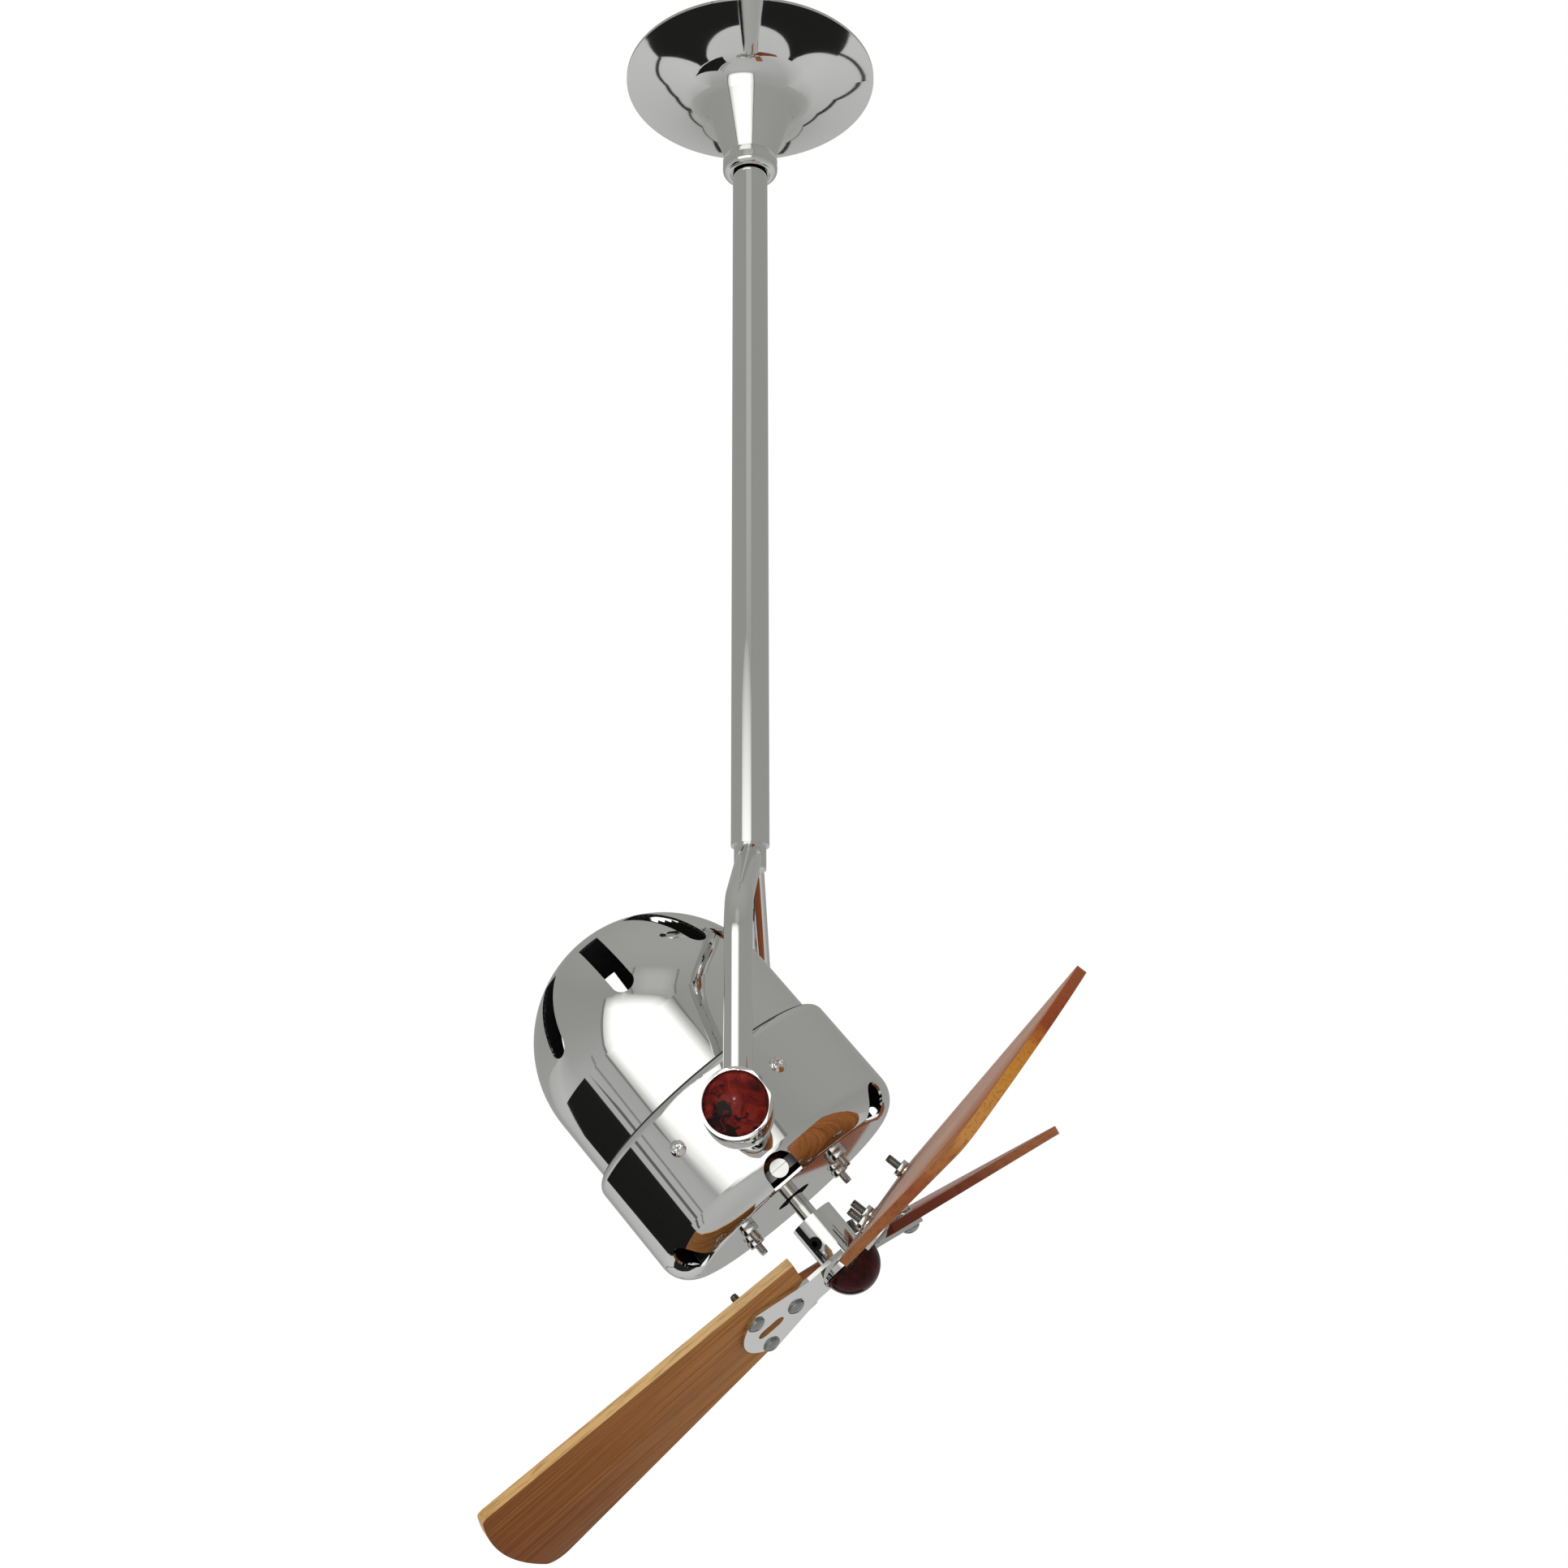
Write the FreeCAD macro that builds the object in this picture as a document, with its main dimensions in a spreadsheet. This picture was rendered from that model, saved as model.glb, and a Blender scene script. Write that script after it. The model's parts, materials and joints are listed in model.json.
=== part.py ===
import FreeCAD, Part
import math
import os
import re

import Sketcher
from FreeCAD import Placement, Rotation, Vector

# Directional ceiling fan: a canopy and downrod carry a swivelling yoke,
# the yoke carries a tilting motor head, and the head turns three wooden blades.
# Millimetres, +Z up, origin on the ceiling at the axis of the downrod.

# Driving dimensions: alias, value, meaning
dimensions = (
    ("tube_radius", 9.525, "downrod outside radius"),
    ("tube_wall", 1.5, "downrod wall"),
    ("tube_top", 6.0, "ceiling to the top end of the downrod"),
    ("tube_bottom", 449.3, "ceiling to the bottom end of the downrod"),
    ("run_fit", 0.06, "radial clearance of a running fit"),
    ("loose_fit", 0.3, "radial clearance of a loose fit"),
    ("bracket_length", 92.0, "ceiling bracket length"),
    ("bracket_width", 28.0, "ceiling bracket width"),
    ("bracket_sheet", 2.5, "ceiling bracket sheet thickness"),
    ("slot_spacing", 70.0, "distance between the two mounting slots"),
    ("slot_length", 12.0, "overall length of a mounting slot"),
    ("slot_radius", 2.6, "half width of a mounting slot"),
    ("ear_width", 16.0, "hanger ear width"),
    ("ear_drop", 20.0, "ceiling to the lower end of a hanger ear"),
    ("hanger_drop", 13.0, "ceiling to the hanger bolt axis"),
    ("hanger_radius", 3.0, "hanger bolt radius"),
    ("hanger_head", 4.0, "hanger bolt head and nut height"),
    ("bush_flange", 1.5, "rubber hanger bush thickness"),
    ("bush_flange_radius", 6.0, "rubber hanger bush radius"),
    ("block_length", 14.0, "terminal block length"),
    ("block_width", 12.0, "terminal block width"),
    ("block_height", 8.0, "terminal block height"),
    ("block_offset", 11.0, "downrod axis to the near end of the terminal block"),
    ("canopy_radius", 69.2, "canopy rim radius"),
    ("canopy_gap", 0.2, "ceiling to the canopy rim"),
    ("canopy_lip", 1.6, "straight part of the canopy rim"),
    ("canopy_depth", 51.0, "ceiling to the canopy neck"),
    ("canopy_neck", 13.8, "canopy neck radius"),
    ("throat_radius", 24.1, "canopy radius where the throat begins to flare"),
    ("throat_drop", 19.8, "ceiling to where the throat begins to flare"),
    ("flare_radius", 36.0, "canopy radius where the flare meets the flange"),
    ("flare_drop", 8.3, "ceiling to where the flare meets the flange"),
    ("canopy_wall", 1.2, "canopy sheet thickness"),
    ("collar_radius", 15.0, "collar outside radius"),
    ("collar_height", 11.0, "collar height"),
    ("collar_round", 3.2, "rounding of the collar's lower edge"),
    ("collar_relief", 1.4, "width of the recess round the downrod under the collar"),
    ("relief_depth", 4.0, "depth of the recess under the collar"),
    ("collar_screw_radius", 2.0, "collar grub screw radius"),
    ("stem_radius", 7.95, "yoke stem outside radius"),
    ("stem_reach", 12.0, "length of the stem below the downrod"),
    ("stem_insert", 12.0, "length of the full stem inside the downrod"),
    ("stem_bore", 4.0, "wire bore radius through the stem"),
    ("spindle_radius", 6.0, "swivel spindle radius"),
    ("swivel_length", 28.0, "swivel bush length"),
    ("swivel_play", 0.5, "end play between stem shoulder and swivel bush"),
    ("swivel_washer", 1.0, "swivel washer thickness"),
    ("swivel_nut", 7.0, "swivel nut height"),
    ("crown_gap", 3.7, "lower end of the downrod to the crossing of the arm lines"),
    ("crown_rise", 16.1, "dome apex up to the crossing of the arm lines, head straight down"),
    ("arm_fall", 51.0, "height of the sloping part of an arm"),
    ("arm_inset", 12.0, "back of a pivot boss to the straight part of its arm"),
    ("pivot_reach", 17.3, "front cup to the back of a pivot boss"),
    ("boss_length", 28.0, "pivot boss length"),
    ("aim_angle", 50.0, "angle of the head below horizontal at rest"),
    ("arm_radius", 6.35, "yoke arm tube outside radius"),
    ("arm_wall", 1.2, "yoke arm tube wall"),
    ("arm_bend", 25.0, "bend radius of an arm at its middle line"),
    ("arm_end", 8.5, "tilt axis up to the lower end of an arm"),
    ("boss_radius", 15.5, "pivot boss outside radius"),
    ("boss_round", 4.0, "rounding of the back edge of a pivot boss"),
    ("boss_step", 12.2, "radius of the nut pocket in a pivot boss"),
    ("boss_lip", 1.5, "rim wall of a pivot boss"),
    ("pocket_floor", 9.0, "depth of the nut pocket from the boss front"),
    ("cap_seat", 3.0, "depth of the cap seat from the boss front"),
    ("cap_rise", 5.5, "crown of a pivot cap above its seat edge"),
    ("nipple_radius", 5.0, "hollow pivot nipple radius"),
    ("nipple_bore", 3.0, "wire bore radius through a nipple"),
    ("nipple_flange", 7.5, "nipple flange radius"),
    ("flange_height", 2.5, "nipple flange thickness"),
    ("pivot_nut", 5.0, "pivot nut height"),
    ("pivot_nut_radius", 8.0, "pivot nut radius over corners"),
    ("washer_radius", 9.0, "friction washer radius"),
    ("washer_height", 1.0, "friction washer and spring washer thickness"),
    ("cup_step", 5.3, "radius of the front cup above that of the rear dome"),
    ("cup_wall", 1.2, "front cup and rear dome sheet thickness"),
    ("cup_lip", 30.5, "tilt axis back to the lip of the front cup"),
    ("lip_round", 4.5, "rounding of the lip of the front cup"),
    ("face_front", 31.5, "tilt axis forward to the face of the front cup"),
    ("face_round", 14.0, "rounding of the front corner of the cup"),
    ("face_hole", 9.0, "radius of the shaft hole in the face"),
    ("vent_width", 15.5, "width of a front vent"),
    ("vent_back", 19.0, "tilt axis forward to the back of a front vent"),
    ("vent_cut", 11.7, "radial depth of a front vent on the face"),
    ("vent_count", 6, "number of front vents"),
    ("dome_radius", 61.4, "rear dome outside radius"),
    ("dome_centre", 64.5, "tilt axis back to the centre of the dome"),
    ("dome_skirt", 3.0, "tilt axis back to the front edge of the dome skirt"),
    ("slit_width", 10.8, "width of a dome slot"),
    ("slit_length", 44.0, "length of a dome slot"),
    ("slit_angle", 54.5, "angle of a dome slot from the dome apex"),
    ("slit_count", 8, "number of dome slots"),
    ("side_screw_back", 10.0, "tilt axis back to the side screws"),
    ("side_screw_angle", 25.5, "angle of a side screw from the tilt axis"),
    ("side_screw_radius", 1.75, "side screw radius"),
    ("side_head_radius", 4.0, "side screw head radius"),
    ("side_head_height", 2.2, "side screw head height"),
    ("bush_neck", 7.0, "pivot bush neck radius"),
    ("bush_collar", 9.0, "pivot bush collar radius"),
    ("bush_seat", 0.05, "gap between the cup crown and the bush collar"),
    ("bush_nut_radius", 10.0, "pivot bush nut radius over corners"),
    ("bush_nut", 3.6, "pivot bush nut height"),
    ("bush_nut_gap", 1.0, "space between the cup wall and the bush nut"),
    ("shield_inset", 9.4, "rear dome radius above that of the end brackets"),
    ("stator_inset", 8.0, "end bracket radius above that of the stator"),
    ("stud_inset", 7.23, "stator radius above that of the circle of studs"),
    ("coil_inset", 11.0, "stator radius above that of the coils"),
    ("coil_band", 7.8, "radial width of a coil"),
    ("bore_lip", 0.9, "coil inside radius above that of the stator bore"),
    ("stator_front", 16.0, "tilt axis forward to the front of the stator"),
    ("stator_length", 26.0, "stator stack length"),
    ("coil_height", 5.0, "coil overhang"),
    ("shield_front", 27.0, "tilt axis forward to the front of the front bracket"),
    ("shield_back", 22.0, "tilt axis back to the back of the rear bracket"),
    ("shield_sheet", 5.0, "end bracket thickness"),
    ("bearing_radius", 6.0, "bearing sleeve outside radius"),
    ("boss_wall", 2.3, "bearing boss wall"),
    ("bearing_length", 8.0, "bearing sleeve length"),
    ("rotor_gap", 0.5, "air gap between rotor and stator"),
    ("rotor_length", 22.0, "rotor core length"),
    ("thrust_height", 1.0, "thrust washer thickness"),
    ("thrust_gap", 0.3, "end gap between a thrust washer and its bearing"),
    ("shaft_radius", 4.0, "motor shaft radius"),
    ("shaft_front", 58.0, "tilt axis forward to the end of the shaft"),
    ("shaft_tail", 2.0, "shaft length behind the rear bearing"),
    ("stud_radius", 2.0, "motor stud radius"),
    ("stud_front", 40.0, "tilt axis forward to the end of a stud"),
    ("stud_nut", 3.2, "stud nut height"),
    ("stud_nut_radius", 4.0, "stud nut radius over corners"),
    ("spacer_radius", 3.5, "stud spacer radius"),
    ("capacitor_length", 34.0, "run capacitor length"),
    ("capacitor_width", 16.0, "run capacitor width"),
    ("capacitor_height", 24.0, "run capacitor height"),
    ("capacitor_offset", 15.0, "head axis to the capacitor"),
    ("clip_sheet", 1.5, "capacitor clip sheet thickness"),
    ("clip_width", 16.0, "capacitor clip width"),
    ("earth_radius", 1.6, "earth screw radius"),
    ("earth_length", 6.0, "earth screw length in the bracket"),
    ("earth_head_radius", 4.2, "earth screw head radius"),
    ("earth_head", 2.8, "earth screw head height"),
    ("earth_slot", 1.0, "earth screw slot width"),
    ("hub_radius", 10.8, "hub radius"),
    ("hub_back", 44.0, "tilt axis forward to the back of the hub"),
    ("hub_front", 68.5, "tilt axis forward to the front of the hub"),
    ("set_screw_radius", 3.2, "hub set screw radius"),
    ("set_screw_angle", 38.0, "turn of the set screw from the tilt axis"),
    ("set_screw_back", 11.0, "back of the hub to the set screw"),
    ("set_screw_proud", 0.8, "height of the set screw above the hub"),
    ("blade_plane", 69.4, "tilt axis forward to the blade plane"),
    ("blade_pitch", 13.4, "blade pitch angle"),
    ("blade_count", 3, "number of blades"),
    ("sweep_radius", 198.0, "blade tip radius"),
    ("blade_root", 22.0, "rotor axis to the root end of a blade"),
    ("blade_sheet", 4.5, "blade thickness"),
    ("lead_root", 44.0, "leading edge offset at the root"),
    ("lead_tip", 57.0, "leading edge offset at the tip"),
    ("trail_root", 17.6, "trailing edge offset at the root"),
    ("trail_tip", 54.0, "trailing edge offset at the tip"),
    ("lead_round", 4.0, "rounding of the leading tip corner"),
    ("trail_round", 10.0, "rounding of the trailing tip corner"),
    ("iron_sheet", 2.0, "blade iron thickness"),
    ("iron_disc", 15.0, "radius of the spider's centre disc"),
    ("iron_end", 61.0, "rotor axis to the round end of an iron"),
    ("iron_waist", 14.0, "half width of an iron at its root"),
    ("iron_wide", 48.0, "rotor axis to the widest part of an iron"),
    ("iron_half", 26.0, "half width of an iron at its widest"),
    ("iron_shift", 5.0, "offset of an iron's middle line to the leading side"),
    ("iron_waist_reach", 20.0, "rotor axis to the root of an iron"),
    ("screw_inner", 31.3, "rotor axis to the inner blade screw"),
    ("screw_outer", 50.3, "rotor axis to the outer blade screws"),
    ("screw_half", 17.7, "half distance between the outer blade screws"),
    ("iron_slot_reach", 46.0, "rotor axis to the middle of an iron's slot"),
    ("iron_slot_half", 3.4, "half length of the straight part of an iron's slot"),
    ("iron_slot_radius", 3.8, "half width of an iron's slot"),
    ("blade_screw_radius", 2.0, "blade screw radius"),
    ("blade_head_radius", 4.3, "blade screw head radius"),
    ("blade_head", 2.7, "blade screw head height"),
    ("blade_screw_tail", 10.5, "length of a blade screw behind the blade"),
    ("blade_washer", 0.8, "blade washer thickness"),
    ("blade_washer_radius", 5.2, "blade washer radius"),
    ("blade_nut", 3.2, "blade nut height"),
    ("blade_nut_radius", 4.0, "blade nut radius over corners"),
    ("nose_radius", 14.0, "nose cap radius"),
    ("nose_height", 13.8, "nose cap height"),
    ("nose_stud", 19.0, "nose stud length"),
    ("nose_grip", 9.0, "length of the nose stud inside the nose cap"),
)

# Sizes that follow from the driving ones
derived = {
    "cup_radius": "(dome_radius + cup_step)",
    "boss_back": "(cup_radius + pivot_reach)",
    "boss_front": "(boss_back + boss_length)",
    "arm_offset": "(boss_back + arm_inset)",
    "arm_crown": "(dome_centre + dome_radius + crown_rise)",
    "arm_corner": "(arm_crown - arm_fall)",
    "pivot_drop": "(tube_bottom + crown_gap + arm_crown)",
    "vent_floor": "(cup_radius - vent_cut)",
    "shield_radius": "(dome_radius - shield_inset)",
    "stator_radius": "(shield_radius - stator_inset)",
    "stud_half": "((stator_radius - stud_inset) * sqrt(0.5))",
    "coil_radius": "(stator_radius - coil_inset)",
    "coil_inner": "(coil_radius - coil_band)",
    "stator_bore": "(coil_inner - bore_lip)",
}

doc = FreeCAD.newDocument("directional_ceiling_fan")
sheet = doc.addObject("Spreadsheet::Sheet", "sizes")
for row, (alias, value, meaning) in enumerate(dimensions, start=1):
    sheet.set(f"A{row}", meaning)
    sheet.set(f"B{row}", str(value))
    sheet.setAlias(f"B{row}", alias)
doc.recompute()

aliases = {alias for alias, value, meaning in dimensions}
pieces = []


# Expression with every derived size written out
def spelled(expression):
    def formula(match):
        word = match.group(0)
        return spelled(derived[word]) if word in derived else word
    return re.sub(r"[A-Za-z_]+", formula, str(expression))


# Value of an expression on the driving dimensions
def size(expression):
    return float(sheet.evalExpression(spelled(expression)))


# Expression on the driving dimensions, as another object reads it
def bound(expression):
    def cell(match):
        word = match.group(0)
        return f"sizes.{word}" if word in aliases else word
    return re.sub(r"[A-Za-z_]+", cell, spelled(expression))


# A finished sub-part with its node name and its place
def piece(item, name, place=None):
    item.Label = name
    if place is not None:
        item.Placement = place
    pieces.append(item)
    return item


def bind(item, **properties):
    for name, expression in properties.items():
        item.setExpression(name, bound(expression))
    return item


def located(item, x=0, y=0, z=0, rotation=Rotation()):
    item.Placement = Placement(Vector(size(x), size(y), size(z)), rotation)
    for axis, expression in zip("xyz", (x, y, z)):
        item.setExpression(f"Placement.Base.{axis}", bound(expression))
    return item


def cylinder(radius, height, x=0, y=0, z=0, rotation=Rotation()):
    rod = doc.addObject("Part::Cylinder", "rod")
    bind(rod, Radius=radius, Height=height)
    return located(rod, x, y, z, rotation)


def box(length, width, height, x=0, y=0, z=0, rotation=Rotation()):
    block = doc.addObject("Part::Box", "block")
    bind(block, Length=length, Width=width, Height=height)
    return located(block, x, y, z, rotation)


def hexagon(radius, height, x=0, y=0, z=0, rotation=Rotation()):
    prism = doc.addObject("Part::Prism", "prism")
    prism.Polygon = 6
    bind(prism, Circumradius=radius, Height=height)
    return located(prism, x, y, z, rotation)


def joined(*items):
    if len(items) == 1:
        return items[0]
    whole = doc.addObject("Part::MultiFuse", "whole")
    whole.Shapes = list(items)
    return whole


def grouped(*items):
    group = doc.addObject("Part::Compound", "group")
    group.Links = list(items)
    return group


def cut(base, *tools):
    rest = doc.addObject("Part::Cut", "rest")
    rest.Base = base
    rest.Tool = joined(*tools)
    return rest


# A copy of a shape at a place
def placed(item, place):
    copy = grouped(item)
    copy.Placement = place
    return copy


# Copies of a shape, turned about the Z axis
def turned_copies(item, count, first=0.0):
    number = int(size(count))
    return [
        placed(item, Placement(Vector(), Rotation(Vector(0, 0, 1), first + turn * 360.0 / number)))
        for turn in range(number)
    ]


def plane_of(body, role):
    return next(face for face in body.Origin.OriginFeatures if face.Role == role)


# Lines in a sketch: each corner is (x, y), an arc's end is (x, y, bulge), where the bulge
# is the arc's height over half its chord, positive to the right
def draw(sketch, corners, closed=True):
    points = [Vector(size(corner[0]), size(corner[1]), 0) for corner in corners]
    spans = [(index - 1, index) for index in range(0 if closed else 1, len(corners))]
    for before, after in spans:
        start = points[before]
        end = points[after]
        bulge = corners[after][2] if len(corners[after]) == 3 else 0
        half = (end - start) * 0.5
        middle = start + half + Vector(half.y, -half.x, 0) * bulge
        if bulge > 0:
            sketch.addGeometry(Part.Arc(start, middle, end), False)
        elif bulge < 0:
            sketch.addGeometry(Part.Arc(end, middle, start), False)
        else:
            sketch.addGeometry(Part.LineSegment(start, end), False)
    for curve, (before, after) in enumerate(spans):
        far = curve_end(sketch, curve, points[after])
        tie(sketch, curve, far, corners[after])
        if curve == 0 and not closed:
            tie(sketch, curve, curve_end(sketch, curve, points[before]), corners[before])
        if closed or curve + 1 < len(spans):
            following = (curve + 1) % len(spans)
            near = curve_end(sketch, following, points[after])
            sketch.addConstraint(Sketcher.Constraint("Coincident", curve, far, following, near))
        if len(corners[after]) == 3:
            x_step = f"(({corners[after][0]}) - ({corners[before][0]}))"
            y_step = f"(({corners[after][1]}) - ({corners[before][1]}))"
            bulge = abs(corners[after][2])
            share = (1 + bulge ** 2) / (4 * bulge)
            radius = f"sqrt({x_step} ^ 2 + {y_step} ^ 2) * {share}"
            number = sketch.addConstraint(Sketcher.Constraint("Radius", curve, size(radius)))
            sketch.setExpression(f"Constraints[{number}]", bound(radius))
    return sketch


# The end of a sketch curve, bound to the sizes that place it
def tie(sketch, curve, end, corner):
    for kind, expression in zip(("DistanceX", "DistanceY"), corner):
        number = sketch.addConstraint(Sketcher.Constraint(
            kind, -1, 1, curve, end, size(expression)))
        sketch.setExpression(f"Constraints[{number}]", bound(expression))


# Closed outline on one of a body's own planes
def outline(body, role, corners):
    sketch = body.newObject("Sketcher::SketchObject", "outline")
    sketch.AttachmentSupport = (plane_of(body, role), [""])
    sketch.MapMode = "FlatFace"
    return draw(sketch, corners)


# Which end of a sketch curve lies on a point: 1 is its start and 2 its end
def curve_end(sketch, index, point):
    near = sketch.Geometry[index].StartPoint.distanceToPoint(point)
    far = sketch.Geometry[index].EndPoint.distanceToPoint(point)
    return 1 if near < far else 2


# A lathe-turned body about its own Z axis
def lathe(corners):
    body = doc.addObject("PartDesign::Body", "body")
    sketch = outline(body, "XZ_Plane", corners)
    turn = body.newObject("PartDesign::Revolution", "turn")
    turn.Profile = sketch
    turn.ReferenceAxis = (sketch, ["V_Axis"])
    turn.Angle = 360
    doc.recompute()
    return body


# A flat body, raised from its own XY plane
def plate(corners, height):
    body = doc.addObject("PartDesign::Body", "body")
    sketch = outline(body, "XY_Plane", corners)
    pad = body.newObject("PartDesign::Pad", "pad")
    pad.Profile = sketch
    bind(pad, Length=height)
    doc.recompute()
    return body


def ring(inner, outer, low, high):
    return lathe(((inner, low), (outer, low), (outer, high), (inner, high)))


quarter = math.tan(math.radians(22.5))


# Bulge of a round crown, from its edge to its top
def crown_bulge(rise, radius):
    return math.tan(math.atan(size(rise) / size(radius)) / 2)


upright = Rotation()
to_front = Rotation(Vector(1, 0, 0), 90)
to_rear = Rotation(Vector(0, 0, 1), 180).multiply(to_front)
toward_x = Rotation(Vector(0, 1, 0), 90)
pivot_point = Vector(0, 0, -size("pivot_drop"))
head_place = Placement(pivot_point, Rotation(Vector(0, 1, 0), 90 + size("aim_angle")))
sides = {
    "front": Placement(pivot_point, to_front),
    "rear": Placement(pivot_point, to_rear),
}

# Ceiling bracket: a slotted bar with two ears bent down for the hanger bolt
bar = box("bracket_length", "bracket_width", "bracket_sheet",
          "-bracket_length / 2", "-bracket_width / 2", "-bracket_sheet")
ear_gap = "tube_radius + loose_fit + bush_flange"
ears = [
    box("ear_width", "bracket_sheet", "ear_drop", "-ear_width / 2", start, "-ear_drop")
    for start in (ear_gap, f"-({ear_gap}) - bracket_sheet")
]
slot_tools = []
for side in (-1, 1):
    for end in (-1, 1):
        slot_tools.append(cylinder(
            "slot_radius", "3 * bracket_sheet",
            f"{side} * slot_spacing / 2 + {end} * (slot_length / 2 - slot_radius)", 0,
            "-2 * bracket_sheet"))
    slot_tools.append(box(
        "slot_length - 2 * slot_radius", "2 * slot_radius", "3 * bracket_sheet",
        f"{side} * slot_spacing / 2 - slot_length / 2 + slot_radius", "-slot_radius",
        "-2 * bracket_sheet"))
bolt_hole = cylinder("hanger_radius + run_fit", "2 * bracket_width", 0, "bracket_width",
                     "-hanger_drop", to_front)
piece(cut(joined(bar, *ears), bolt_hole, *slot_tools), "ceiling_bracket")

# Hanger bolt with its nut and rubber bushes, through the ears and the downrod
ear_face = f"{ear_gap} + bracket_sheet"
bolt = joined(
    cylinder("hanger_radius", f"2 * ({ear_face}) + 1.5 * hanger_head", 0, ear_face,
             "-hanger_drop", to_front),
    hexagon("1.9 * hanger_radius", "hanger_head", 0, f"{ear_face} + hanger_head",
            "-hanger_drop", to_front))
piece(bolt, "hanger_bolt")
nut = cut(
    hexagon("1.9 * hanger_radius", "hanger_head", 0, f"-({ear_face})", "-hanger_drop", to_front),
    cylinder("hanger_radius", "2 * hanger_head", 0, f"-({ear_face}) + hanger_head / 2",
             "-hanger_drop", to_front))
piece(nut, "hanger_nut")
bushes = [
    cut(cylinder("bush_flange_radius", "bush_flange", 0, start, "-hanger_drop", to_front),
        cylinder("hanger_radius + run_fit", "3 * bush_flange", 0, f"{start} + bush_flange",
                 "-hanger_drop", to_front))
    for start in (ear_gap, f"-({ear_gap}) + bush_flange")
]
piece(grouped(*bushes), "hanger_bushes")

# Terminal block under the bracket
block = cut(
    box("block_length", "block_width", "block_height", "block_offset", "-block_width / 2",
        "-bracket_sheet - block_height"),
    *[cylinder("block_width / 8", "block_length * 2", "block_offset - block_length / 2",
               f"{side} * block_width / 4", "-bracket_sheet - block_height / 2", toward_x)
      for side in (-1, 1)])
piece(block, "terminal_block")

# Downrod
tube_bore = "tube_radius - tube_wall"
downrod = cut(
    ring(tube_bore, "tube_radius", "-tube_bottom", "-tube_top"),
    cylinder("hanger_radius + loose_fit", "4 * tube_radius", 0, "2 * tube_radius",
             "-hanger_drop", to_front))
piece(downrod, "downrod")

# Canopy: a spun trumpet with a short straight rim, sliding on the downrod
flare = math.tan(math.radians(13.95))
flange = math.tan(math.radians(2.5))
canopy_hole = "tube_radius + loose_fit"
canopy = lathe((
    (canopy_hole, "-canopy_depth"),
    ("canopy_neck", "-canopy_depth"),
    ("throat_radius", "-throat_drop"),
    ("flare_radius", "-flare_drop", -flare),
    ("canopy_radius", "-canopy_gap - canopy_lip", -flange),
    ("canopy_radius", "-canopy_gap"),
    ("canopy_radius - canopy_wall", "-canopy_gap"),
    ("canopy_radius - canopy_wall", "-canopy_gap - canopy_lip + canopy_wall"),
    ("flare_radius - 0.28 * canopy_wall", "-flare_drop + 0.96 * canopy_wall", flange),
    ("throat_radius - 0.95 * canopy_wall", "-throat_drop + 0.31 * canopy_wall", flare),
    ("canopy_neck - 0.73 * canopy_wall", "-canopy_depth + canopy_wall"),
    (canopy_hole, "-canopy_depth + canopy_wall")))
piece(canopy, "canopy")

# Collar under the canopy, with its grub screw
collar_low = "-canopy_depth - collar_height"
collar_bore = "tube_radius + run_fit"
collar_body = lathe((
    (collar_bore, f"{collar_low} + relief_depth"),
    (f"{collar_bore} + collar_relief", f"{collar_low} + relief_depth"),
    (f"{collar_bore} + collar_relief", collar_low),
    ("collar_radius - collar_round", collar_low),
    ("collar_radius", f"{collar_low} + collar_round", quarter),
    ("collar_radius", "-canopy_depth - 1.6 * canopy_wall"),
    ("collar_radius - canopy_wall", "-canopy_depth - canopy_wall"),
    ("collar_radius - canopy_wall", "-canopy_depth"),
    (collar_bore, "-canopy_depth")))
collar_middle = f"{collar_low} + collar_height / 2"
screw_hole = cylinder("collar_screw_radius", "2 * collar_radius", 0, 0, collar_middle, toward_x)
piece(cut(collar_body, screw_hole), "canopy_collar")
screw_start = "tube_radius + loose_fit"
grub = cylinder("collar_screw_radius", f"collar_radius - ({screw_start})", screw_start, 0,
                collar_middle, toward_x)
piece(grub, "collar_grub_screw")

# Swivel: the stem turns in a bush inside the downrod and hangs from a nut on top
shoulder = "-tube_bottom + stem_insert"
bush_low = f"{shoulder} + swivel_play"
bush_high = f"{bush_low} + swivel_length"
nut_low = f"{bush_high} + swivel_washer"
nut_high = f"{nut_low} + swivel_nut"
piece(ring("spindle_radius + run_fit", tube_bore, bush_low, bush_high), "swivel_bush")
stem = lathe((
    ("stem_bore", "-tube_bottom - stem_reach"),
    ("stem_radius", "-tube_bottom - stem_reach"),
    ("stem_radius", shoulder),
    ("spindle_radius", shoulder),
    ("spindle_radius", nut_high),
    ("stem_bore", nut_high)))

# Middle line of an arm: straight up from the boss, bent, then sloping in to the stem
arm_rise = "(arm_crown - arm_corner)"
arm_slope = f"sqrt(arm_offset ^ 2 + {arm_rise} ^ 2)"
arm_tangent = f"(arm_bend * ({arm_slope} - {arm_rise}) / arm_offset)"
arm_turn = math.acos(size(f"{arm_rise} / {arm_slope}"))
arm_line = doc.addObject("Sketcher::SketchObject", "arm_line")
arm_line.Placement = Placement(Vector(), Rotation(Vector(1, 0, 0), 90))
draw(arm_line, (
    ("arm_offset", "arm_end"),
    ("arm_offset", f"arm_corner - {arm_tangent}"),
    (f"arm_offset * (1 - {arm_tangent} / {arm_slope})",
     f"arm_corner + {arm_tangent} * {arm_rise} / {arm_slope}", math.tan(arm_turn / 4)),
    (0, "arm_crown")), closed=False)
doc.recompute()


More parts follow.
